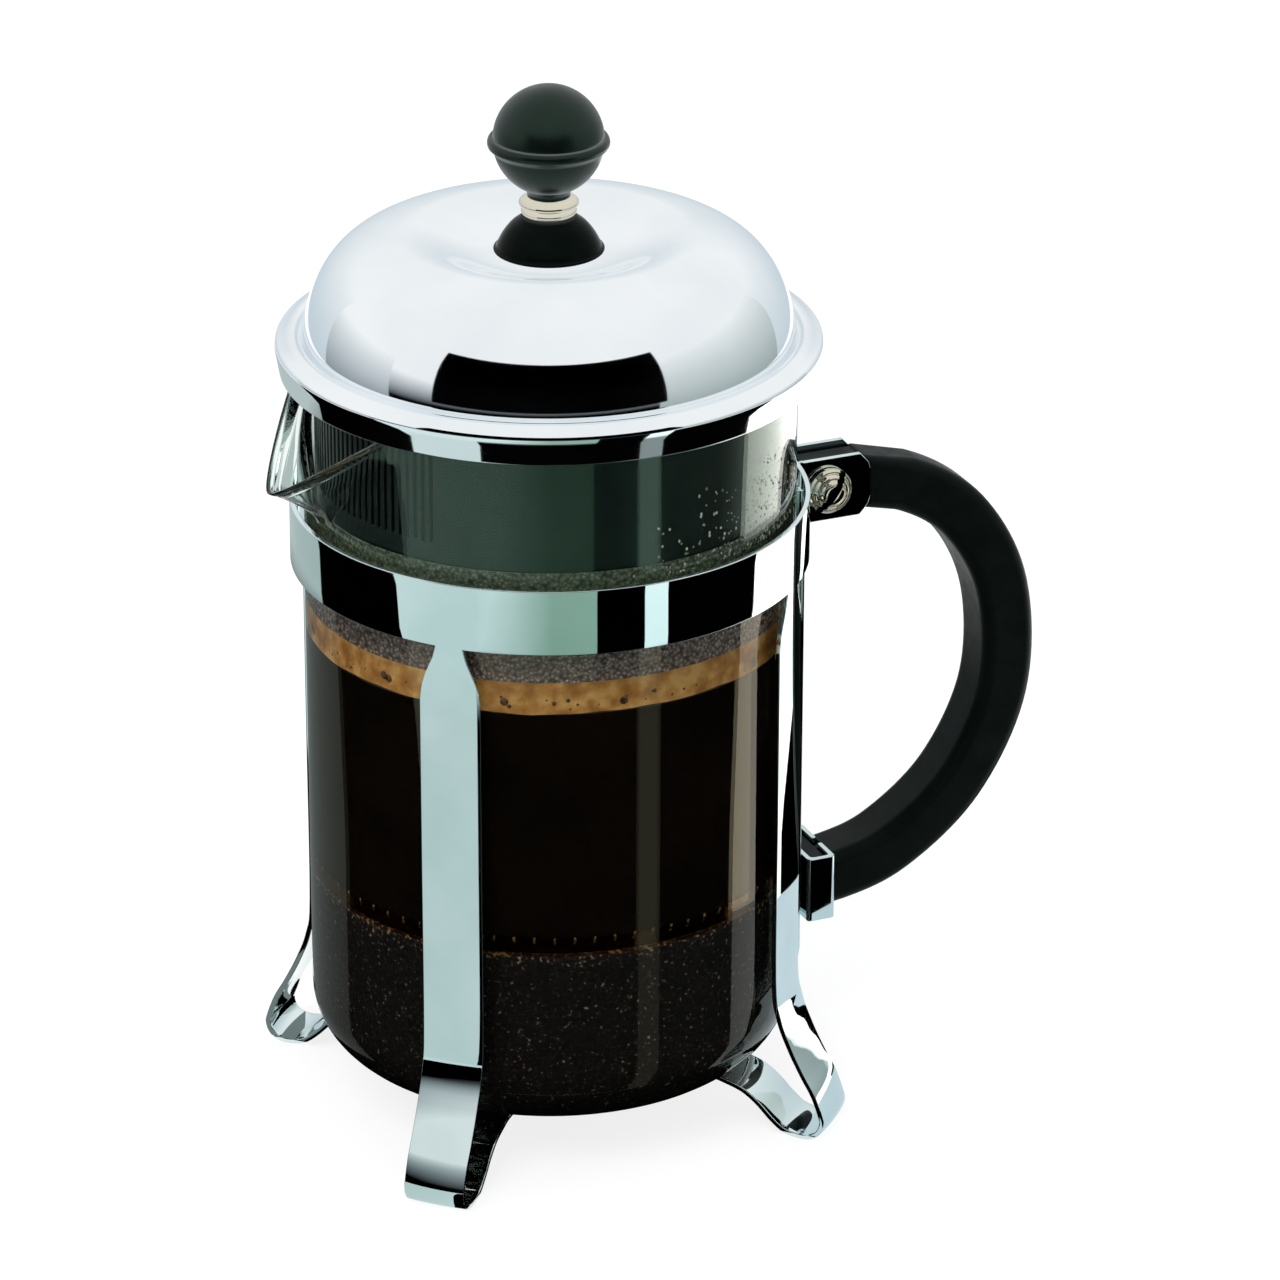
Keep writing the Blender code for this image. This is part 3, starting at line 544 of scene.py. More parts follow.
def settle(obj):
    """Replace the piece's mesh by what its modifiers make of it."""
    mesh = bpy.data.meshes.new_from_object(obj.evaluated_get(bpy.context.evaluated_depsgraph_get()))
    obj.modifiers.clear()
    obj.data = mesh


def even_normals(obj):
    """Let large faces keep their own normals beside small rounded ones, so that reflections run straight."""
    weighted = obj.modifiers.new("even_normals", "WEIGHTED_NORMAL")
    weighted.keep_sharp = True
    settle(obj)


def subtract(obj, mesh_edit, look=None):
    """Take a closed shape in millimetres out of a piece; a look, if given, covers the faces of the cut."""
    for vert in mesh_edit.verts:
        vert.co = place(vert.co)
    mesh = bpy.data.meshes.new("cutter")
    mesh_edit.to_mesh(mesh)
    mesh_edit.free()
    cutter = add_object("cutter", mesh)
    boolean = obj.modifiers.new("cut", "BOOLEAN")
    if look:
        mesh.materials.append(LOOKS[look])
        boolean.material_mode = "TRANSFER"
    boolean.operation = "DIFFERENCE"
    boolean.solver = "EXACT"
    boolean.object = cutter
    settle(obj)
    bpy.data.objects.remove(cutter, do_unlink=True)


def lay_on_bolt(mesh_edit, towards):
    """Turn a shape made about the vessel's axis onto the clamp bolt's line, its top towards +Y or -Y."""
    turn = Matrix.Rotation(math.radians(-90.0 * towards), 4, "X")
    bmesh.ops.transform(mesh_edit, verts=mesh_edit.verts,
                        matrix=Matrix.Translation((BOLT_R_POS, 0.0, BOLT_Z)) @ turn)


def drill_for_bolt(obj):
    """Drill the clamp bolt's hole through a piece."""
    bore = BOLT_SHANK_R + GAP
    mesh_edit = bmesh.new()
    bmesh.ops.create_cone(mesh_edit, cap_ends=True, segments=48, radius1=bore, radius2=bore, depth=DRILL_LENGTH)
    lay_on_bolt(mesh_edit, 1.0)
    subtract(obj, mesh_edit)


# ---------------------------------------------------------------- stand

def leg_point(radius, height, across, angle):
    """A point on a leg: across runs along the strip's width, which keeps the collar's curve."""
    out = radius + math.sqrt(BAND_R ** 2 - across ** 2) - BAND_R
    return (out * math.cos(angle) - across * math.sin(angle),
            out * math.sin(angle) + across * math.cos(angle), height)


def leg_stations():
    """(radius, height, share of the full width) down a leg, from under the collar to the end of its foot."""
    mid_r = SHEET_MID_R
    sole = SHEET / 2.0
    rest = GLASS_BASE_Z - GAP - sole
    neck_share = NECK_HALF_WIDTH / LEG_HALF_WIDTH
    stations = smooth_line([(BAND_LOW_Z, neck_share), (98.6, 0.60), (94.6, 0.90), (LEG_FULL_Z, 1.0)], 4)[1:]
    result = [(mid_r, height, share) for height, share in stations]
    path = [(mid_r, LEG_FULL_Z), (mid_r, 60.0), (mid_r, 30.0), (mid_r + 0.9, 22.6), (46.9, 17.1), (49.3, 12.3),
            (51.4, 8.6)]
    path += arc(49.9, 3.6, 3.15, 18.0, -80.0, 4)[0:4]
    path += [(50.3, sole), (48.3, sole), (45.9, 1.1), (43.6, 2.9), (41.1, 5.4), (38.3, 7.4), (34.8, 8.6),
             (32.6, rest), (28.5, rest)]
    return result + [(radius, height, 1.0) for radius, height in smooth_line(path, 5)[1:]]


def collar_angles(start):
    """Angles of the collar's columns, closer together over each leg, from one ear's bend to the other's."""
    neck = math.degrees(NECK_HALF_WIDTH / SHEET_MID_R)
    angles = [start]
    for centre in (*LEG_ANGLES, 360.0 - start + neck):
        low = centre - neck
        first = angles[-1]
        steps = max(1, round((low - first) / 2.5))
        angles += [first + (low - first) * step / steps for step in range(1, steps + 1)]
        if centre in LEG_ANGLES:
            angles += [centre + neck * across for across in LEG_STEPS[1:]]
    return angles


def add_ear(mesh_edit, edge, side, levels):
    """Bend the collar's end outwards and run it on as a flat ear with a rounded end."""
    across = side * (EAR_GAP_HALF + SHEET / 2.0)
    corner = Vector((edge[0].co.x, edge[0].co.y, 0.0))
    control = Vector((SHEET_MID_R + 0.1, across, 0.0))
    flat = Vector((SHEET_MID_R + 1.9, across, 0.0))
    rows = []
    for step in range(1, 6):
        share = step / 5.0
        point = corner * (1.0 - share) ** 2 + control * 2.0 * share * (1.0 - share) + flat * share ** 2
        rows.append([(point.x, point.y, z - EAR_DROP * share) for z in levels])
    for step in range(1, 9):
        share = step / 8.0
        row = []
        for z in levels:
            height = 2.0 * (z - levels[0]) / (levels[-1] - levels[0]) - 1.0
            nip = 0.9 * max(0.0, (abs(height) - 0.6) / 0.4) ** 3
            end = EAR_END_R - EAR_BULGE * height ** 2 * 0.8 - nip
            row.append((flat.x + (end - flat.x) * share, flat.y, z - EAR_DROP))
        rows.append(row)
    for row in rows:
        verts = [mesh_edit.verts.new(point) for point in row]
        join_columns(mesh_edit, edge, verts)
        edge = verts


def add_leg(mesh_edit, above, angle):
    """Run a leg down from a row of the collar's vertices to the end of its foot."""
    for radius, height, width in leg_stations():
        row = [mesh_edit.verts.new(leg_point(radius, height, step * width * LEG_HALF_WIDTH, angle))
               for step in LEG_STEPS]
        join_columns(mesh_edit, above, row)
        above = row


def make_stand():
    """Collar, four legs with hairpin feet and two ears, all from one sheet."""
    mesh_edit = bmesh.new()
    angles = collar_angles(math.degrees((EAR_GAP_HALF + SHEET / 2.0 + EAR_BEND) / SHEET_MID_R))
    levels = [BAND_LOW_Z + (BAND_TOP_Z - BAND_LOW_Z) * step / 6.0 for step in range(7)]
    rings = []
    for degrees in angles:
        across, along = math.cos(math.radians(degrees)), math.sin(math.radians(degrees))
        rings.append([(SHEET_MID_R * across, SHEET_MID_R * along, z) for z in levels])
    grid = skin(mesh_edit, rings, closed_ring=False, capped=False)
    add_ear(mesh_edit, grid[0], 1.0, levels)
    add_ear(mesh_edit, grid[-1], -1.0, levels)
    for centre in LEG_ANGLES:
        middle = min(range(len(angles)), key=lambda index: abs(angles[index] - centre))
        above = [grid[middle + shift][0] for shift in range(-5, 6)]
        add_leg(mesh_edit, above, math.radians(centre))
    stand = finish_piece("stand_sheet", mesh_edit, "stand", "stand", "stand_frame", 45.0)
    add_thickness(stand, SHEET)
    round_edges(stand, 0.16, 50.0, 3)
    drill_for_bolt(stand)


def make_strap():
    """Strip that hangs inside the collar's split, joggles outwards and carries the bracket."""
    inner_r = GLASS_R + 0.45 + STRAP_SHEET / 2.0
    outer_r = STRAP_R - STRAP_SHEET / 2.0
    half = 5.2
    path = [(inner_r, BAND_LOW_Z + 6.0, half), (inner_r, BAND_LOW_Z, half),
            (inner_r + 0.3, BAND_LOW_Z - 1.2, half), (outer_r - 0.3, BAND_LOW_Z - 4.1, half),
            (outer_r, BAND_LOW_Z - 5.2, half), (outer_r, 60.0, half),
            (outer_r, STRAP_LOW_Z + 3.0, 5.1), (outer_r, STRAP_LOW_Z + 1.2, 4.5),
            (outer_r, STRAP_LOW_Z + 0.3, 3.4), (outer_r, STRAP_LOW_Z, 2.4)]
    rings = []
    for radius, height, width in path:
        ring = []
        for step in range(-6, 7):
            across = step / 6.0 * width
            ring.append((math.sqrt(radius ** 2 - across ** 2), across, height))
        rings.append(ring)
    mesh_edit = bmesh.new()
    skin(mesh_edit, rings, closed_ring=False, capped=False)
    strap = finish_piece("strap_strip", mesh_edit, "stand", "stand", "handle_strap", 45.0)
    add_thickness(strap, STRAP_SHEET)
    round_edges(strap, 0.15, 50.0, 3)


def make_bracket():
    """C-shaped channel on the strap, with two lips that leave a slot for the grip's tail."""
    back = STRAP_R + GAP
    out, half, slot, wall = BRACKET_OUT_R, BRACKET_HALF_WIDTH, 1.15, BRACKET_WALL
    outline = [(back, half), (out, half), (out, slot), (out - wall, slot), (out - wall, half - wall),
               (back + wall, half - wall)]
    outline += [(radius, -across) for radius, across in reversed(outline)]
    outline = soften(outline, 0.8, 5)
    mesh_edit = bmesh.new()
    rings = []
    for height in (BRACKET_LOW_Z, BRACKET_TOP_Z):
        rings.append([(radius, across, height) for radius, across in outline])
    skin(mesh_edit, rings)
    bracket = finish_piece("bracket_channel", mesh_edit, "stand", "stand", "handle_bracket")
    round_edges(bracket, 0.18, 60.0, 3)


def grip_section(point, along, half_width, half_depth, corner, hollow=0.0, steps=7):
    """Rounded rectangle across the grip; hollow pulls its top and bottom back towards the vessel."""
    normal = Vector((-along.y, along.x))
    ring = []
    for sign_w, sign_d, start in ((1, 1, 0), (-1, 1, 90), (-1, -1, 180), (1, -1, 270)):
        for step in range(steps):
            angle = math.radians(start + 90.0 * step / (steps - 1))
            across = sign_w * (half_width - corner) + corner * math.cos(angle)
            deep = sign_d * (half_depth - corner) + corner * math.sin(angle)
            spot = point + normal * deep
            ring.append((spot.x - hollow * (deep / half_depth) ** 2, across, spot.y))
    return ring


def make_grip():
    """D-shaped handle: T-shaped tail in the bracket, curved grip, shoulders and a tongue between the ears."""
    guides = [(52.4, 31.0), (64.5, 34.6), (77.3, 45.2), (85.3, 62.0), (84.9, 81.5), (77.4, 96.2), (66.0, 103.9)]
    per_span = 10
    line = smooth_line(guides, per_span, (40.0, 29.8), (55.0, 105.2))
    level = Vector((1.0, 0.0))
    tail_z = (BRACKET_LOW_Z + BRACKET_TOP_Z) / 2.0 + 0.3
    shoulder = BRACKET_OUT_R + GAP
    slot_inner = BRACKET_OUT_R - BRACKET_WALL - GAP
    head_end = STRAP_R + GAP + BRACKET_WALL + GAP
    rings = []
    for radius, half_width, half_depth, corner in (
            (head_end, 5.2, 4.6, 0.3), (head_end + 0.3, 5.5, 4.9, 0.5), (slot_inner, 5.5, 4.9, 0.5),
            (slot_inner, 0.8, 4.5, 0.3), (shoulder, 0.8, 4.5, 0.3), (shoulder, 5.0, 4.6, 1.6),
            (shoulder + 0.15, 5.35, 4.95, 1.9)):
        rings.append(grip_section(Vector((radius, tail_z)), level, half_width, half_depth, corner))
    for index in range(1, len(line)):
        along = (line[min(index + 1, len(line) - 1)] - line[index - 1]).normalized()
        share = min(1.0, max(0.0, (len(line) - 1 - index) / (2.0 * per_span)))
        eased = share * share * (3.0 - 2.0 * share)
        rings.append(grip_section(line[index], along, 4.2 + 1.3 * eased, 4.9, 2.2))
    start = EAR_END_R + 0.35
    tongue = EAR_GAP_HALF - GAP
    for radius, half_width, half_depth, corner, hollow in (
            (start + 0.6, 4.2, 4.9, 1.6, EAR_BULGE), (start + 0.15, 4.1, 4.85, 1.4, EAR_BULGE),
            (start, 3.85, 4.75, 1.1, EAR_BULGE), (start, tongue, 4.7, 0.6, EAR_BULGE),
            (BAND_R + 2.3, tongue, 4.7, 0.6, 0.0)):
        spot = Vector((radius, BOLT_Z - 0.15))
        rings.append(grip_section(spot, -level, half_width, half_depth, corner, hollow))
    mesh_edit = bmesh.new()
    skin(mesh_edit, rings)
    grip = finish_piece("grip_moulding", mesh_edit, "grip", "stand", "handle_grip", 50.0)
    drill_for_bolt(grip)


def make_clamp():
    """Slotted bolt with turned rings in its head and painted shade in its slot, washer and hexagon nut."""
    face = EAR_GAP_HALF + SHEET + GAP
    head = [(0.0, -8.6), (BOLT_SHANK_R - 0.3, -8.6), (BOLT_SHANK_R, -8.3), (BOLT_SHANK_R, face), (4.1, face),
            (4.1, face + 0.8), (3.75, face + 1.25), (3.6, face + 1.1), (3.35, face + 1.15), (3.1, face + 1.75),
            (2.8, face + 1.95), (2.55, face + 1.8), (2.3, face + 1.9), (2.05, face + 2.3), (1.5, face + 2.45),
            (0.0, face + 2.5)]
    mesh_edit = bmesh.new()
    spin(mesh_edit, soften(head, 0.15), 72)
    lay_on_bolt(mesh_edit, -1.0)
    bolt = finish_piece("bolt_turned", mesh_edit, "nickel", "stand", "clamp_bolt", 40.0)
    slot = bmesh.new()
    turn = Matrix.Rotation(math.radians(-35.0), 4, "Z")
    lift = Matrix.Translation((0.0, 0.0, face + 2.6))
    bmesh.ops.create_cube(slot, size=1.0, matrix=turn @ lift @ Matrix.Diagonal((1.3, 12.0, 4.2, 1.0)))
    lay_on_bolt(slot, -1.0)
    # The faces of the cut take painted shade, dark nickel that makes the slot look shaded.
    subtract(bolt, slot, "slot_shade")
    round_edges(bolt, 0.08, 55.0, 2)
    bore = BOLT_SHANK_R + GAP
    mesh_edit = bmesh.new()
    top = face + WASHER_SHEET
    spin(mesh_edit, soften([(bore, face), (WASHER_R, face), (WASHER_R, top), (bore, top)], 0.2), 72)
    lay_on_bolt(mesh_edit, 1.0)
    finish_piece("washer_round", mesh_edit, "nickel", "stand", "clamp_washer")
    low = top + GAP
    mesh_edit = bmesh.new()
    corner = bore / HEXAGON
    spin(mesh_edit, [(corner, low), (4.4, low), (4.4, low + 2.2), (4.0, low + 2.7), (corner, low + 2.7)], 6)
    lay_on_bolt(mesh_edit, 1.0)
    nut = finish_piece("nut_hexagon", mesh_edit, "nickel", "stand", "clamp_nut")
    round_edges(nut, 0.2, 30.0, 3)


# ---------------------------------------------------------------- beaker

def spout_shape(degrees, height):
    """How far the glass stands out and how far its rim dips, near the spout at 180 degrees."""
    off = math.hypot(degrees - 180.0, LIP_ROUNDING) - LIP_ROUNDING
    if off >= SPOUT_HALF_ANGLE:
        return 0.0, 0.0
    narrow = 1.0 - off / SPOUT_HALF_ANGLE
    dip = SPOUT_DIP * narrow ** 1.15
    below = max(0.0, GLASS_RIM_Z - dip - height)
    out = SPOUT_REACH * narrow ** 1.6 * max(0.0, 1.0 - below / SPOUT_FADE) ** 1.6
    return out, dip


def make_glass():
    """Glass cup with a rounded base, a fire-polished rim and a drawn pouring lip."""
    half_wall = GLASS_WALL / 2.0
    levels = [24.0 + 4.0 * step for step in range(21)] + [106.0 + 1.5 * step for step in range(19)]
    outside = [(0.0, GLASS_BASE_Z + 0.6), (12.0, GLASS_BASE_Z + 0.45), (22.0, GLASS_BASE_Z + 0.1),
               (26.0, GLASS_BASE_Z)]
    outside += arc(GLASS_R - GLASS_CORNER, GLASS_BASE_Z + GLASS_CORNER, GLASS_CORNER, -90, 0, 14)
    outside += [(GLASS_R, height) for height in levels]
    bead = half_wall * math.sqrt(2.0)
    rim = arc(GLASS_R - half_wall, GLASS_RIM_Z - bead, bead, -45, 225, 14)
    corner = GLASS_CORNER - GLASS_WALL
    inside = [(GLASS_INNER_R, height) for height in reversed(levels)]
    inside += arc(GLASS_INNER_R - corner, GLASS_FLOOR_Z + corner, corner, 0, -90, 14) + [(0.0, GLASS_FLOOR_Z)]
    profile = outside + rim + inside
    steps = [2.5 * step for step in range(144)]
    fine = [148.0 + 0.8 * step for step in range(81)]
    steps = sorted([degrees for degrees in steps if not 147.9 < degrees < 212.1] + fine)
    mesh_edit = bmesh.new()
    columns = []
    for degrees in steps:
        angle = math.radians(degrees)
        column = []
        for radius, height in profile:
            if radius == 0.0 and columns:
                column.append(columns[0][len(column)])
                continue
            out = 0.0
            if height > 100.0:
                dip = spout_shape(degrees, height)[1]
                height -= dip * max(0.0, (height - SPOUT_START_Z) / (GLASS_RIM_Z - SPOUT_START_Z))
                out = spout_shape(degrees, height)[0]
            reach = radius + out
            column.append(mesh_edit.verts.new((reach * math.cos(angle), reach * math.sin(angle), height)))
        columns.append(column)
    for here, there in zip(columns, columns[1:] + columns[:1]):
        join_columns(mesh_edit, here, there)
    glass = finish_piece("beaker_cup", mesh_edit, "glass", "beaker", "glass_beaker", 60.0)
    glass.visible_shadow = False


def make_contents():
    """Coffee under its crema, the pressed grounds, and the fogged glass over them."""
    corner = GLASS_CORNER - GLASS_WALL + 0.15
    floor = GLASS_FLOOR_Z - 0.15
    base = [(0.0, floor)] + arc(COFFEE_R - corner, floor + corner, corner, -90, 0, 12)
    grounds = base + [(COFFEE_R, GROUNDS_TOP_Z - 0.6), (COFFEE_R - 0.5, GROUNDS_TOP_Z - 0.05),
                      (39.2, GROUNDS_TOP_Z - 0.05), (36.0, GROUNDS_TOP_Z - 2.2), (0.0, GROUNDS_TOP_Z - 2.2)]
    turned("pressed_grounds", grounds, "grounds", "beaker")
    groove_r = SPRING_R + 0.6
    brew = [(0.0, GROUNDS_TOP_Z - 2.0), (36.0, GROUNDS_TOP_Z - 2.0), (groove_r, GROUNDS_TOP_Z),
            (groove_r, SPRING_WINDOW_TOP_Z - 0.6), (COFFEE_R, SPRING_WINDOW_TOP_Z), (COFFEE_R, CREMA_LOW_Z),
            (COFFEE_R - 1.5, CREMA_LOW_Z + 0.4), (0.0, CREMA_LOW_Z + 0.4)]
    turned("coffee_brew", brew, "coffee", "beaker", rounding=0.3)
    thin = [(groove_r - 0.7, GROUNDS_TOP_Z - 0.4), (COFFEE_R - 0.03, GROUNDS_TOP_Z - 0.4),
            (COFFEE_R - 0.03, SPRING_WINDOW_TOP_Z + 0.3), (groove_r - 0.7, SPRING_WINDOW_TOP_Z + 0.3)]
    turned("coffee_thin_ring", thin, "film", "beaker", rounding=0.0).visible_shadow = False
    make_crema()
    fog = [(FILM_R, CREMA_TOP_Z - 0.1), (FILM_OUT_R, CREMA_TOP_Z - 0.1), (FILM_OUT_R, FOG_TOP_Z),
           (FILM_R, FOG_TOP_Z)]
    turned("condensation_film", fog, "fog", "beaker", rounding=0.0)
    haze = [(FILM_R, FOG_TOP_Z), (FILM_OUT_R, FOG_TOP_Z), (FILM_OUT_R, LINER_LOW_Z + 0.6),
            (FILM_R, LINER_LOW_Z + 0.6)]
    turned("haze_film", haze, "haze", "beaker", rounding=0.0)
    make_drops()


def make_crema():
    """Foam ring and skin on the coffee, uneven along its lower edge, with bubbles pressed against the glass."""
    picker = random.Random(11)
    phases = [picker.uniform(0.0, 2.0 * math.pi) for _ in range(5)]
    mesh_edit = bmesh.new()
    rings = []
    for step in range(ROUND * 2):
        angle = math.pi * step / ROUND
        wave = 0.0
        for index, phase in enumerate(phases):
            wave += math.sin((5 + 7 * index) * angle + phase) / (index + 1.5)
        low = CREMA_LOW_Z - 0.1 + 0.16 * wave
        top = CREMA_TOP_Z + 0.10 * math.sin(9.0 * angle + phases[1])
        outline = [(0.0, CREMA_TOP_Z - 1.0), (25.0, CREMA_TOP_Z - 1.0), (38.6, CREMA_TOP_Z - 0.8),
                   (COFFEE_R - 0.5, top - 0.4), (COFFEE_R + 0.02, top), (FILM_OUT_R, low + 0.5),
                   (FILM_OUT_R, low), (COFFEE_R - 0.6, low - 0.1), (0.0, CREMA_LOW_Z + 0.5)]
        rings.append([(radius * math.cos(angle), radius * math.sin(angle), z) for radius, z in outline])
    grid = [[mesh_edit.verts.new(point) for point in ring] for ring in rings]
    for here, there in zip(grid, grid[1:] + grid[:1]):
        join_columns(mesh_edit, here, there)
    finish_piece("crema_foam", mesh_edit, "crema", "beaker", crease=50.0)
    mesh_edit = bmesh.new()
    for _ in range(120):
        angle = picker.uniform(0.0, 2.0 * math.pi)
        size = picker.choice((0.16, 0.2, 0.26, 0.4, 0.75))
        add_drop(mesh_edit, angle, COFFEE_R + 0.03, CREMA_LOW_Z + picker.uniform(0.5, 2.8), size, 0.06, 1.0, 2)
    finish_piece("crema_bubbles", mesh_edit, "bubble", "beaker")


def add_drop(mesh_edit, angle, radius, height, size, depth, tall=1.0, detail=1):
    """A flattened drop that clings to an upright wall, size in millimetres."""
    turn = Matrix.Rotation(angle, 4, "Z")
    shape = Matrix.Diagonal((depth, size, size * tall, 1.0))
    matrix = Matrix.Translation((radius * math.cos(angle), radius * math.sin(angle), height)) @ turn @ shape
    bmesh.ops.create_icosphere(mesh_edit, subdivisions=detail, radius=1.0, matrix=matrix)


def make_drops():
    """Water drops inside the fogged band, and finer dew on the outside over the collar, towards the handle."""
    picker = random.Random(5)
    mesh_edit = bmesh.new()
    for _ in range(420):
        angle = picker.uniform(0.0, 2.0 * math.pi)
        size = picker.choice((0.16, 0.2, 0.28, 0.4))
        tall = picker.uniform(1.0, 2.2)
        height = picker.uniform(CREMA_TOP_Z + 0.6, BAND_LOW_Z + 1.0)
        add_drop(mesh_edit, angle, COFFEE_R - 0.1, height, size, size * 0.45, tall)
    finish_piece("water_drops", mesh_edit, "water", "beaker").visible_shadow = False
    mesh_edit = bmesh.new()
    front = math.radians(VIEW_AZIMUTH - 90.0)
    for _ in range(260):
        angle = front + math.radians(picker.triangular(16.0, 86.0, 62.0))
        height = BAND_TOP_Z + 14.0 * picker.random() ** 2.2
        size = picker.choice((0.12, 0.16, 0.24))
        add_drop(mesh_edit, angle, GLASS_R + 0.02, height, size, size * 0.5, picker.uniform(1.0, 1.5))
    finish_piece("dew_outside", mesh_edit, "dew", "beaker").visible_shadow = False


# ---------------------------------------------------------------- lid

def crown_height(radius, inset):
    """Height of the flat part of the crown, with its shallow dish in the middle."""
    share = (radius / (DOME_R - inset)) ** (1.0 / 0.3)
    height = (DOME_HEIGHT - inset) * math.sqrt(1.0 - share * share) ** 1.3
    if radius < DISH_R:
        turn = math.pi * min(1.0, (DISH_R - radius) / (DISH_R - 9.5))
        height -= DISH_DEPTH * (1.0 - math.cos(turn)) / 2.0
    return DOME_LOW_Z + height


def dome_line(hole, inset):
    """Crown of the lid as (radius, height): steep at the base, rounded shoulder, dished top."""
    points = []
    for step in range(37):
        angle = math.radians(2.0 * step)
        radius = (DOME_R - inset) * math.cos(angle) ** 0.3
        if radius > DISH_R:
            points.append((radius, DOME_LOW_Z + (DOME_HEIGHT - inset) * math.sin(angle) ** 1.3))
    start = points[-1][0]
    for step in range(1, 25):
        radius = start + (hole - start) * step / 24.0
        points.append((radius, crown_height(radius, inset)))
    return points


def make_lid():
    """Pressed chrome dome with a bead, a rolled flange and a short skirt."""
    t = LID_SHEET
    outside = [(FLANGE_R - 0.9, SKIRT_LOW_Z), (FLANGE_R - 0.35, DOME_LOW_Z - 2.9),
               (FLANGE_R - 0.2, DOME_LOW_Z - 2.1), (FLANGE_R - 0.2, DOME_LOW_Z - 1.3),
               (FLANGE_R - 0.5, DOME_LOW_Z - 0.75), (FLANGE_R - 1.3, DOME_LOW_Z - 0.45),
               (44.5, DOME_LOW_Z - 0.05), (44.1, DOME_LOW_Z + 0.2),
               (43.5, DOME_LOW_Z + 0.35), (42.9, DOME_LOW_Z + 0.3), (42.5, DOME_LOW_Z - 0.05),
               (42.2, DOME_LOW_Z - 0.6), (41.9, DOME_LOW_Z - 0.5)]
    outside += dome_line(4.0, 0.0)
    inside = list(reversed(dome_line(4.0, t)))
    inside += [(DOME_R - t - 0.1, DOME_LOW_Z - 1.6), (43.0, DOME_LOW_Z - 1.9),
               (FLANGE_R - 0.9 - t, DOME_LOW_Z - 2.4), (FLANGE_R - 0.9 - t, SKIRT_LOW_Z)]
    turned("lid_dome", outside + inside, "lid", "lid", "lid_shell", 256, 0.25)


def make_liner():
    """Plastic liner: slotted wall inside the glass, deck and central column."""
    wall_r = LINER_R - LINER_WALL / 2.0
    column_r = 5.0
    rows = [(wall_r, LINER_LOW_Z), (wall_r, 118.0), (wall_r, 126.0), (wall_r, 133.5),
            (wall_r, LINER_DECK_Z), (30.0, LINER_DECK_Z), (18.0, LINER_DECK_Z), (column_r, LINER_DECK_Z),
            (column_r, LINER_TOP_Z)]
    half_zone = SLOT_COUNT * SLOT_PITCH / 2.0
    edges, slots = [], set()
    for index in range(SLOT_COUNT):
        centre = 180.0 - half_zone + (index + 0.5) * SLOT_PITCH
        slots.add(len(edges))
        edges += [centre - SLOT_HALF_WIDTH, centre + SLOT_HALF_WIDTH]
    start, end = edges[-1], edges[0] + 360.0
    plain_steps = 90
    edges += [start + (end - start) * step / plain_steps for step in range(1, plain_steps)]
    mesh_edit = bmesh.new()
    columns = []
    for degrees in edges:
        across, along = math.cos(math.radians(degrees)), math.sin(math.radians(degrees))
        columns.append([mesh_edit.verts.new((r * across, r * along, z)) for r, z in rows])
    for step, here in enumerate(columns):
        there = columns[(step + 1) % len(columns)]
        join_columns(mesh_edit, here, there, skip=(1, 2) if step in slots else ())
    liner = finish_piece("liner_moulding", mesh_edit, "liner", "lid", "lid_liner", 45.0)
    add_thickness(liner, LINER_WALL)
    round_edges(liner, 0.12, 50.0, 2)


def make_seat():
    """Bell under the knob with its hollow spigot, and the washer and nut that hold it."""
    bore = ROD_R + GAP
    low = SEAT_LOW_Z
    top = low + SEAT_HEIGHT
    guides = [(8.85, low + 0.85), (8.5, low + 1.7), (7.7, low + 3.1), (6.4, low + 4.7), (4.7, top - 0.1)]
    bell = smooth_line(guides, 6)
    outline = [(bore, LINER_DECK_Z - 4.6), (3.6, LINER_DECK_Z - 4.6), (3.6, low), (9.0, low), (9.35, low + 0.2),
               (9.35, low + 0.5), (9.0, low + 0.65)]
    outline += [tuple(point) for point in bell] + [(4.1, top), (bore, top)]
    turned("seat_bell", outline, "seat", "lid", "knob_seat", 96, 0.2)
    top = LINER_DECK_Z - LINER_WALL / 2.0 - GAP
    low = top - WASHER_SHEET
    washer = [(3.9, low), (7.4, low), (7.4, top), (3.9, top)]
    turned("liner_washer_ring", washer, "steel", "lid", "liner_washer", 72, 0.2)
    top = low - GAP
    corner = 3.9 / HEXAGON
    nut = [(corner, top - 2.4), (6.6, top - 2.4), (6.6, top), (corner, top)]
    piece = turned("liner_nut_hexagon", nut, "steel", "lid", "liner_nut", 6, 0.0)
    round_edges(piece, 0.25, 30.0, 3)


# ---------------------------------------------------------------- plunger, knob and filter

def make_plunger():
    """Polished rod and the double ring under the knob."""
    low, top = cad("plunger_rod", 2, LOW), cad("plunger_rod", 2, HIGH)
    rod = [(0.0, low), (1.6, low), (ROD_R, low + 0.6), (ROD_R, top - 0.6), (1.6, top), (0.0, top)]
    turned("rod_bar", rod, "steel", "plunger", "plunger_rod", 48, 0.2)
    base = cad("rod_lock_ring", 2, LOW)
    bore = ROD_R + GAP
    ring = [(bore, base), (3.9, base), (4.5, base + 0.25), (4.78, base + 0.7), (4.5, base + 1.2),
            (bore, base + 1.2)]
    turned("lock_ring_turned", ring, "nickel", "plunger", "rod_lock_ring", 96, 0.25)
    base = cad("knob_insert", 2, LOW)
    insert = [(bore, base), (4.6, base), (5.08, base + 0.35), (5.08, base + 0.9), (4.6, base + 1.35),
              (3.2, base + 1.5), (3.2, base + 8.0), (bore, base + 8.0)]
    turned("knob_ferrule", insert, "nickel", "knob", "knob_insert", 96, 0.25)


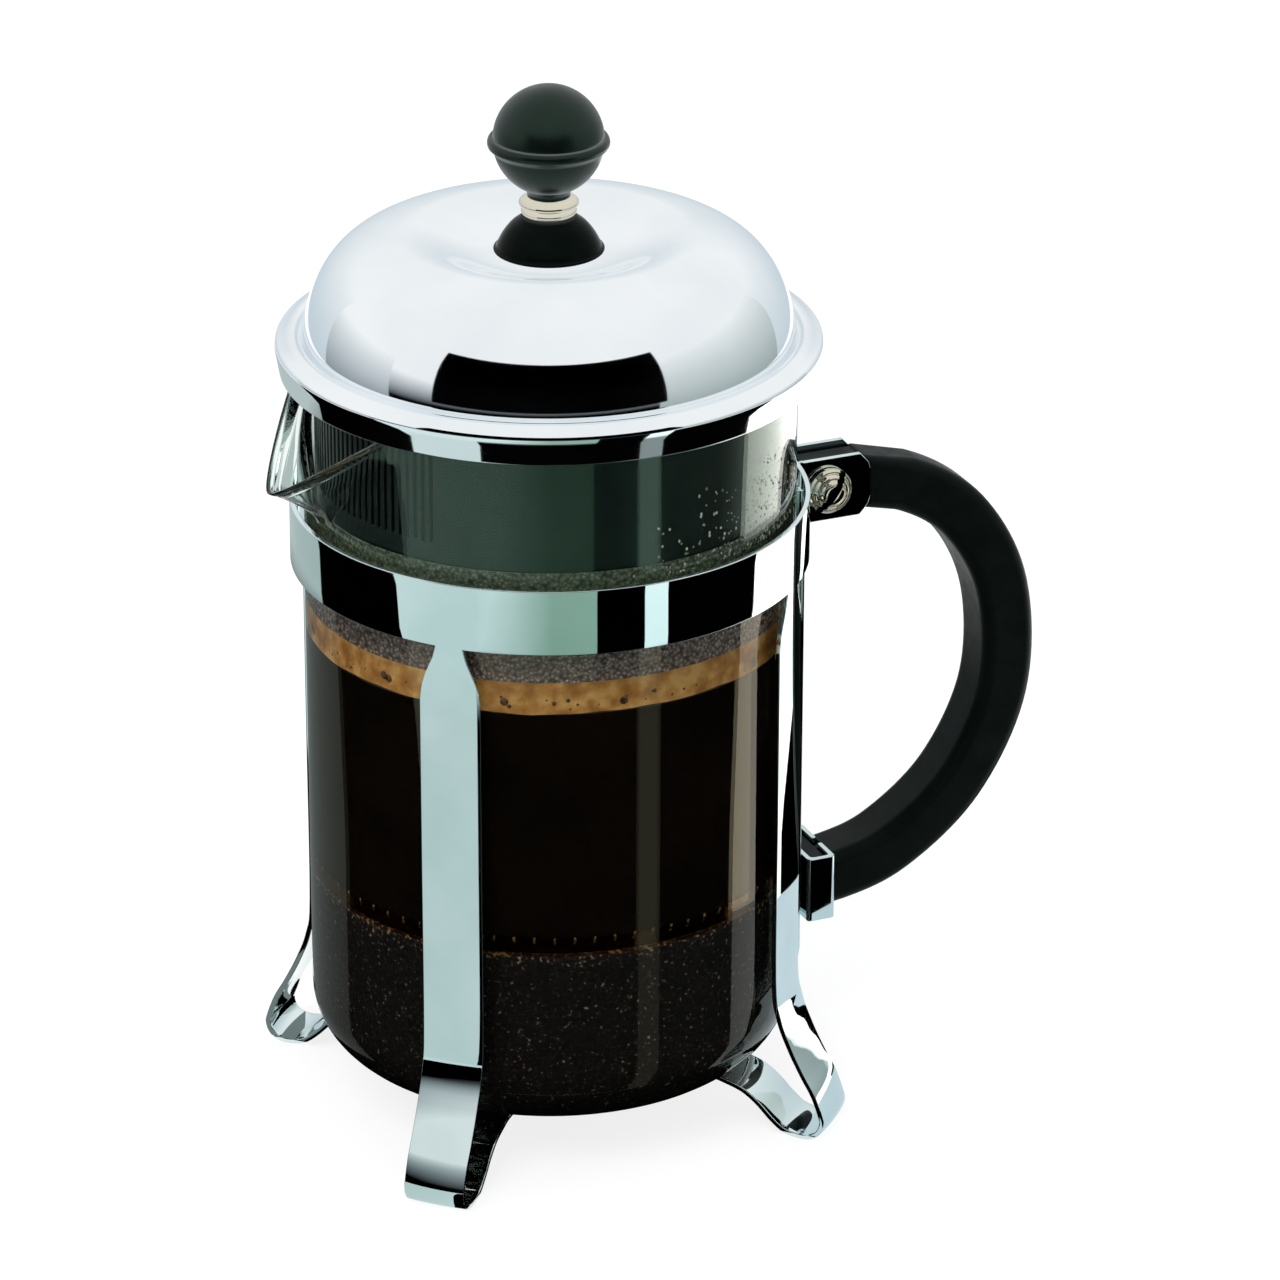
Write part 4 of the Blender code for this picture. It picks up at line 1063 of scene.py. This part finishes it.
def make_knob():
    """Ball knob: lower cup with a belt, and upper cap."""
    seat = cad("knob_cup", 2, LOW)
    hole = 3.2 + GAP
    centre = KNOB_CENTRE_Z
    belt_z = centre - 0.4
    cup = [(hole, seat), (3.65, seat), (3.6, seat + 0.6), (4.3, centre - 8.25)]
    cup += arc(0.0, centre, KNOB_R, -60.0, -12.0, 16)
    cup += [(9.75, belt_z - 0.95), (10.2, belt_z - 0.55), (10.3, belt_z), (10.2, belt_z + 0.5),
            (9.9, belt_z + 0.95), (8.0, belt_z + 1.0), (8.0, belt_z - 3.0), (hole, belt_z - 3.0)]
    turned("knob_lower", cup, "knob", "knob", "knob_cup", 128, 0.2)
    inner = 7.7
    floor = belt_z - 3.0 + GAP
    seam = belt_z + 1.05
    start = math.degrees(math.asin((seam - centre) / KNOB_R))
    cap = [(0.0, centre + 1.4), (5.0, centre + 1.4), (5.0, floor), (inner, floor), (inner, seam)]
    cap += arc(0.0, centre, KNOB_R, start, 90.0, 30)[:-1] + [(0.0, centre + KNOB_R)]
    turned("knob_upper", cap, "knob", "knob", "knob_cap", 128, 0.3)


def ring_points(radius, count, centre=(0.0, 0.0)):
    """Points evenly round a circle."""
    points = []
    for step in range(count):
        angle = 2.0 * math.pi * step / count
        points.append((centre[0] + radius * math.cos(angle), centre[1] + radius * math.sin(angle)))
    return points


def punched_plate(name, outlines, height, thickness, node):
    """Flat steel plate whose first outline is its edge and whose other outlines are holes."""
    curve = bpy.data.curves.new(name, "CURVE")
    curve.dimensions = "2D"
    curve.fill_mode = "BOTH"
    curve.extrude = thickness / 2.0
    for points in outlines:
        spline = curve.splines.new("POLY")
        spline.points.add(len(points) - 1)
        for spot, (x, y) in zip(spline.points, points):
            spot.co = (x, y, 0.0, 1.0)
        spline.use_cyclic_u = True
    carrier = add_object(name + "_outline", curve)
    bpy.context.view_layer.update()
    mesh = bpy.data.meshes.new_from_object(carrier.evaluated_get(bpy.context.evaluated_depsgraph_get()))
    bpy.data.objects.remove(carrier, do_unlink=True)
    mesh_edit = bmesh.new()
    mesh_edit.from_mesh(mesh)
    bpy.data.meshes.remove(mesh)
    bmesh.ops.translate(mesh_edit, verts=mesh_edit.verts, vec=(0.0, 0.0, height))
    plate = finish_piece(name, mesh_edit, "steel", "filter", node)
    round_edges(plate, 0.08, 60.0, 1)


def make_spring():
    """Fine spring whose coils run round the spiral plate's edge and press against the glass."""
    wire, turns, per_turn, sides = 0.24, 74, 16, 8
    coil = SPRING_COIL - wire
    count = turns * per_turn
    rings = []
    for step in range(count):
        turn = 2.0 * math.pi * step / per_turn
        angle = 2.0 * math.pi * step / count - 0.5 / SPRING_R * math.sin(turn)
        out = Vector((math.cos(angle), math.sin(angle), 0.0))
        up = Vector((0.0, 0.0, 1.0))
        away = out * math.cos(turn) + up * math.sin(turn)
        along = Vector((-math.sin(angle), math.cos(angle), 0.0))
        centre = out * SPRING_R + up * (FILTER_Z + 1.0) + away * coil
        ring = []
        for side in range(sides):
            tilt = 2.0 * math.pi * side / sides
            ring.append(centre + wire * (away * math.cos(tilt) + along * math.sin(tilt)))
        rings.append(ring)
    rings.append(rings[0])
    mesh_edit = bmesh.new()
    skin(mesh_edit, rings, capped=False)
    finish_piece("spring_coils", mesh_edit, "steel", "filter", "rim_spring", 80.0)


def make_filter():
    """Spiral plate with its rim spring, woven screen, cross plate and hub."""
    bore = ROD_R + GAP
    z = FILTER_Z
    outlines = [ring_points(36.2, 160), ring_points(4.2, 40)]
    for radius, count, hole in ((10.5, 10, 1.5), (17.0, 16, 1.7), (24.0, 24, 1.7), (31.0, 30, 1.7)):
        outlines += [ring_points(hole, 20, centre) for centre in ring_points(radius, count)]
    punched_plate("spiral_plate_punched", outlines, z + 1.0, 0.6, "spiral_plate")
    make_spring()
    screen = [(bore, z), (35.8, z), (37.6, z - 0.35), (38.5, z - 0.9), (38.9, z - 1.9), (38.4, z - 1.9),
              (37.9, z - 1.3), (37.2, z - 0.8), (35.5, z - 0.5), (bore, z - 0.5)]
    turned("screen_woven", screen, "screen", "filter", "mesh_screen", 160, 0.15)
    outlines = [ring_points(34.0, 128), ring_points(4.6, 32)]
    inner, outer, open_half = 9.1, 30.0, math.radians(35.0)
    for quarter in range(4):
        middle = math.pi / 4.0 + quarter * math.pi / 2.0
        window = []
        for step in range(25):
            angle = middle - open_half + 2.0 * open_half * step / 24.0
            window.append((outer * math.cos(angle), outer * math.sin(angle)))
        for step in range(9):
            angle = middle + (0.5 - step / 8.0) * open_half
            window.append((inner * math.cos(angle), inner * math.sin(angle)))
        outlines.append(window)
    punched_plate("cross_plate_pressed", outlines, z - 1.3, 0.8, "cross_plate")
    hub = [(bore, z - 3.6), (3.9, z - 3.6), (5.0, z - 2.9), (5.0, z - 0.8), (bore, z - 0.8)]
    turned("hub_turned", hub, "brass", "filter", "filter_hub", 72, 0.2)


# ---------------------------------------------------------------- stage, light and camera

DARK = (0.0, 0.0, 0.0)
PALE = (0.80, 0.93, 0.92)
MOSS = (0.32, 0.49, 0.40)
SKY = (0.82, 0.93, 1.0)
WHITE = (1.0, 1.0, 1.0)
WARM = (1.0, 0.98, 0.92)
# Cards on the floor round the object, which upright metal and glass mirror. Their edges are given by where the
# edge's image falls on the vessel, in degrees from the camera's side to the right: low down and at the rim.
# Then come the stretch they cover along the mirrored line of sight, the colours of the left and the right side,
# and the brightness near the vessel and further away.
FLOOR_CARDS = (
    ("left_back", (-90.0, -90.0), (-58.0, -63.6), (8.0, 420.0), PALE, PALE, 0.24, 0.60),
    ("left_bar", (-58.0, -63.6), (-31.0, -38.8), (8.0, 420.0), DARK, DARK, 0.0, 0.0),
    ("front_left", (-31.0, -38.8), (-16.0, -16.0), (8.0, 600.0), PALE, PALE, 0.80, 0.90),
    ("front", (-16.0, -16.0), (10.2, 10.2), (8.0, 600.0), PALE, MOSS, 0.0, 0.92),
    ("right_bar_1", (10.2, 10.2), (21.0, 21.0), (8.0, 600.0), DARK, DARK, 0.0, 0.0),
    ("right_strip", (21.0, 21.0), (26.5, 26.5), (8.0, 600.0), PALE, PALE, 0.30, 1.25),
    ("right_bar_2", (26.5, 26.5), (48.4, 53.0), (8.0, 420.0), DARK, DARK, 0.0, 0.0),
    ("right_low", (48.4, 53.0), (81.0, 89.0), (8.0, 90.0), SKY, SKY, 0.85, 0.85),
    ("softbox", (48.4, 53.0), (63.6, 88.0), (90.0, 420.0), WARM, WARM, 1.9, 2.2),
    ("right_bar_3", (63.6, 88.0), (81.0, 89.0), (90.0, 420.0), DARK, DARK, 0.0, 0.0),
    ("right_back", (81.0, 89.0), (90.0, 90.0), (8.0, 420.0), SKY, SKY, 0.8, 0.8),
)
LOW_SPAN, RIM_SPAN = 123.0, 342.0        # where along the line of sight the low and the rim image fall
RISE_LOW_R, RISE_HIGH_R = 236.0, 260.0   # floor cards brighten between these distances
MOSS_FROM, MOSS_TO = -125.0, 5.0         # and change colour between these places across the view
FLOOR_CARD_Z = 1.0
UNDER_R, UNDER_Z = 52.0, 0.8             # dark card under the vessel
# Walls: radius, edges in degrees, low and high edge in millimetres, colours and brightness low and high.
WALLS = (
    ("dark_panel", 200.0, -49.0, 49.0, 126.0, 262.0, DARK, DARK, 0.0, 0.0),
    ("front_low", 600.0, -75.0, 49.0, 2.0, 50.0, DARK, DARK, 0.0, 0.0),
    ("front_wall", 600.0, -75.0, 49.0, 50.0, 230.0, SKY, WHITE, 0.0, 0.95),
    ("right_wall", 600.0, 49.0, 125.0, 2.0, 420.0, PALE, WHITE, 0.45, 0.95),
    ("back_wall", 600.0, 125.0, 240.0, 2.0, 420.0, SKY, WHITE, 0.72, 0.95),
    ("left_wall", 600.0, -120.0, -75.0, 2.0, 300.0, SKY, WHITE, 0.35, 0.95),
)


def glow_look(name, first, second, near, far, start, end, upright):
    """Glowing card: walls change with height, floor cards with distance from the axis and across the view."""
    material = bpy.data.materials.new(name)
    material.use_nodes = True
    nodes, links = material.node_tree.nodes, material.node_tree.links
    nodes.clear()
    output = nodes.new("ShaderNodeOutputMaterial")
    glow = nodes.new("ShaderNodeEmission")
    links.new(glow.outputs["Emission"], output.inputs["Surface"])
    where = nodes.new("ShaderNodeTexCoord")
    split = nodes.new("ShaderNodeSeparateXYZ")
    links.new(where.outputs["Object"], split.inputs["Vector"])
    shift = nodes.new("ShaderNodeMapRange")
    shift.inputs["From Min"].default_value = (start if upright else MOSS_FROM) * MM
    shift.inputs["From Max"].default_value = (end if upright else MOSS_TO) * MM
    links.new(split.outputs["Z" if upright else "X"], shift.inputs["Value"])
    ramp = nodes.new("ShaderNodeValToRGB")
    ramp.color_ramp.elements[0].color = (*first, 1.0)
    ramp.color_ramp.elements[1].color = (*second, 1.0)
    links.new(shift.outputs["Result"], ramp.inputs["Fac"])
    links.new(ramp.outputs["Color"], glow.inputs["Color"])
    rise = nodes.new("ShaderNodeMapRange")
    rise.inputs["From Min"].default_value = start * MM
    rise.inputs["From Max"].default_value = end * MM
    rise.inputs["To Min"].default_value = near
    rise.inputs["To Max"].default_value = far
    if upright:
        links.new(split.outputs["Z"], rise.inputs["Value"])
    else:
        measure = nodes.new("ShaderNodeVectorMath")
        measure.operation = "LENGTH"
        links.new(where.outputs["Object"], measure.inputs[0])
        links.new(measure.outputs["Value"], rise.inputs["Value"])
    links.new(rise.outputs["Result"], glow.inputs["Strength"])
    return material


def stage_mesh(name, rows, material):
    """A stage surface through rows of points in millimetres; its own origin is on the vessel's axis."""
    mesh_edit = bmesh.new()
    skin(mesh_edit, rows, closed_ring=False, capped=False)
    bmesh.ops.scale(mesh_edit, vec=(MM, MM, MM), verts=mesh_edit.verts)
    mesh = bpy.data.meshes.new(name)
    mesh_edit.to_mesh(mesh)
    mesh_edit.free()
    mesh.materials.append(material)
    obj = add_object(name, mesh)
    obj.location = place((0.0, 0.0, 0.0))
    return obj


def add_card(name, rows, look):
    """A card that lights nothing and that only mirrors and glass show, turned to face the camera's side."""
    card = stage_mesh("card_" + name, rows, look)
    card.rotation_euler.z = math.radians(VIEW_AZIMUTH)
    card.visible_camera = False
    card.visible_diffuse = False
    card.visible_shadow = False
    return card


def card_edge(near, far, span):
    """A point on a floor card's edge, span along the mirrored line of sight; the camera is towards -Y."""
    share = min(1.0, max(0.0, (span - LOW_SPAN) / (RIM_SPAN - LOW_SPAN)))
    angle = math.radians(near + (far - near) * share)
    return (BAND_R * math.sin(angle) + span * math.sin(2.0 * angle),
            -BAND_R * math.cos(angle) - span * math.cos(2.0 * angle))


def make_cards():
    """Bright and dark cards as a photographer sets them round polished metal; local -Y is the camera's side."""
    for name, first, last, spans, left, right, near, far in FLOOR_CARDS:
        rows = []
        for level in range(25):
            span = spans[0] + (spans[1] - spans[0]) * level / 24.0
            row = []
            for step in range(9):
                share = step / 8.0
                low = first[0] + (last[0] - first[0]) * share
                high = first[1] + (last[1] - first[1]) * share
                row.append((*card_edge(low, high, span), FLOOR_CARD_Z))
            rows.append(row)
        add_card(name, rows, glow_look("card_" + name, left, right, near, far, RISE_LOW_R, RISE_HIGH_R, False))
    rows = []
    for radius in (1.0, UNDER_R):
        ring = ring_points(radius, 48)
        rows.append([(x, y, UNDER_Z) for x, y in ring + ring[:1]])
    add_card("under", rows, glow_look("card_under", DARK, DARK, 0.0, 0.0, 0.0, 1.0, False))
    for name, radius, first, last, low, high, low_colour, high_colour, dim, bright in WALLS:
        rows = []
        for step in range(25):
            angle = math.radians(first + (last - first) * step / 24.0)
            rows.append([(radius * math.sin(angle), -radius * math.cos(angle), z) for z in (low, high)])
        look = glow_look("card_" + name, low_colour, high_colour, dim, bright, low, high, True)
        add_card(name, rows, look).visible_transmission = False


def make_floor():
    """Plain pale floor, lit from below as a light table is, so that shadows stay faint."""
    white = (1.0, 1.0, 1.0, 1.0)
    material = new_look("floor_paint", Roughness=0.9, Emission_Color=white, Emission_Strength=0.82)
    vary_colour(material, pattern(material, "noise", 6.0),
                ((0.3, (122, 122, 122)), (0.7, (128, 128, 128))))
    reach = 6000.0
    stage_mesh("floor", [[(x, y, 0.0) for y in (-reach, reach)] for x in (-reach, reach)], material)


def make_light():
    """Soft white surroundings and one large softbox over the camera's left shoulder."""
    world = bpy.data.worlds.new("studio")
    world.use_nodes = True
    background = world.node_tree.nodes["Background"]
    background.inputs["Color"].default_value = (1.0, 1.0, 1.0, 1.0)
    background.inputs["Strength"].default_value = 0.95
    bpy.context.scene.world = world
    lamp = bpy.data.lights.new("softbox", "AREA")
    lamp.shape = "DISK"
    lamp.size = 1.2
    lamp.energy = 26.0
    obj = add_object("softbox", lamp)
    obj.location = (-1.1, -1.0, 2.2)
    obj.rotation_euler = (Vector((0.0, 0.0, 0.08)) - obj.location).to_track_quat("-Z", "Y").to_euler()
    obj.visible_glossy = False


def make_camera():
    """Long lens at the view's azimuth and elevation, rolled by a fraction of a degree."""
    azimuth = math.radians(VIEW_AZIMUTH)
    spot = place((CAMERA_DISTANCE * math.sin(azimuth), -CAMERA_DISTANCE * math.cos(azimuth), CAMERA_Z))
    aim = place(CAMERA_AIM)
    data = bpy.data.cameras.new("camera")
    data.lens = CAMERA_LENS
    data.sensor_width = SENSOR
    data.clip_start = 0.05
    data.clip_end = 50.0
    camera = add_object("camera", data)
    camera.location = spot
    turn = (aim - spot).to_track_quat("-Z", "Y").to_matrix()
    camera.rotation_euler = (turn @ Matrix.Rotation(math.radians(CAMERA_ROLL), 3, "Z")).to_euler()
    bpy.context.scene.camera = camera
    bpy.context.scene.view_settings.view_transform = "Standard"


def build():
    """Everything in the picture."""
    make_looks()
    make_stand()
    make_strap()
    make_bracket()
    make_grip()
    make_clamp()
    make_glass()
    make_contents()
    make_lid()
    make_liner()
    make_seat()
    make_plunger()
    make_knob()
    make_filter()
    for piece in PIECES:
        even_normals(piece)
        piece.visible_glossy = piece.name not in NOT_MIRRORED
    make_cards()
    make_floor()
    make_light()
    make_camera()


build()
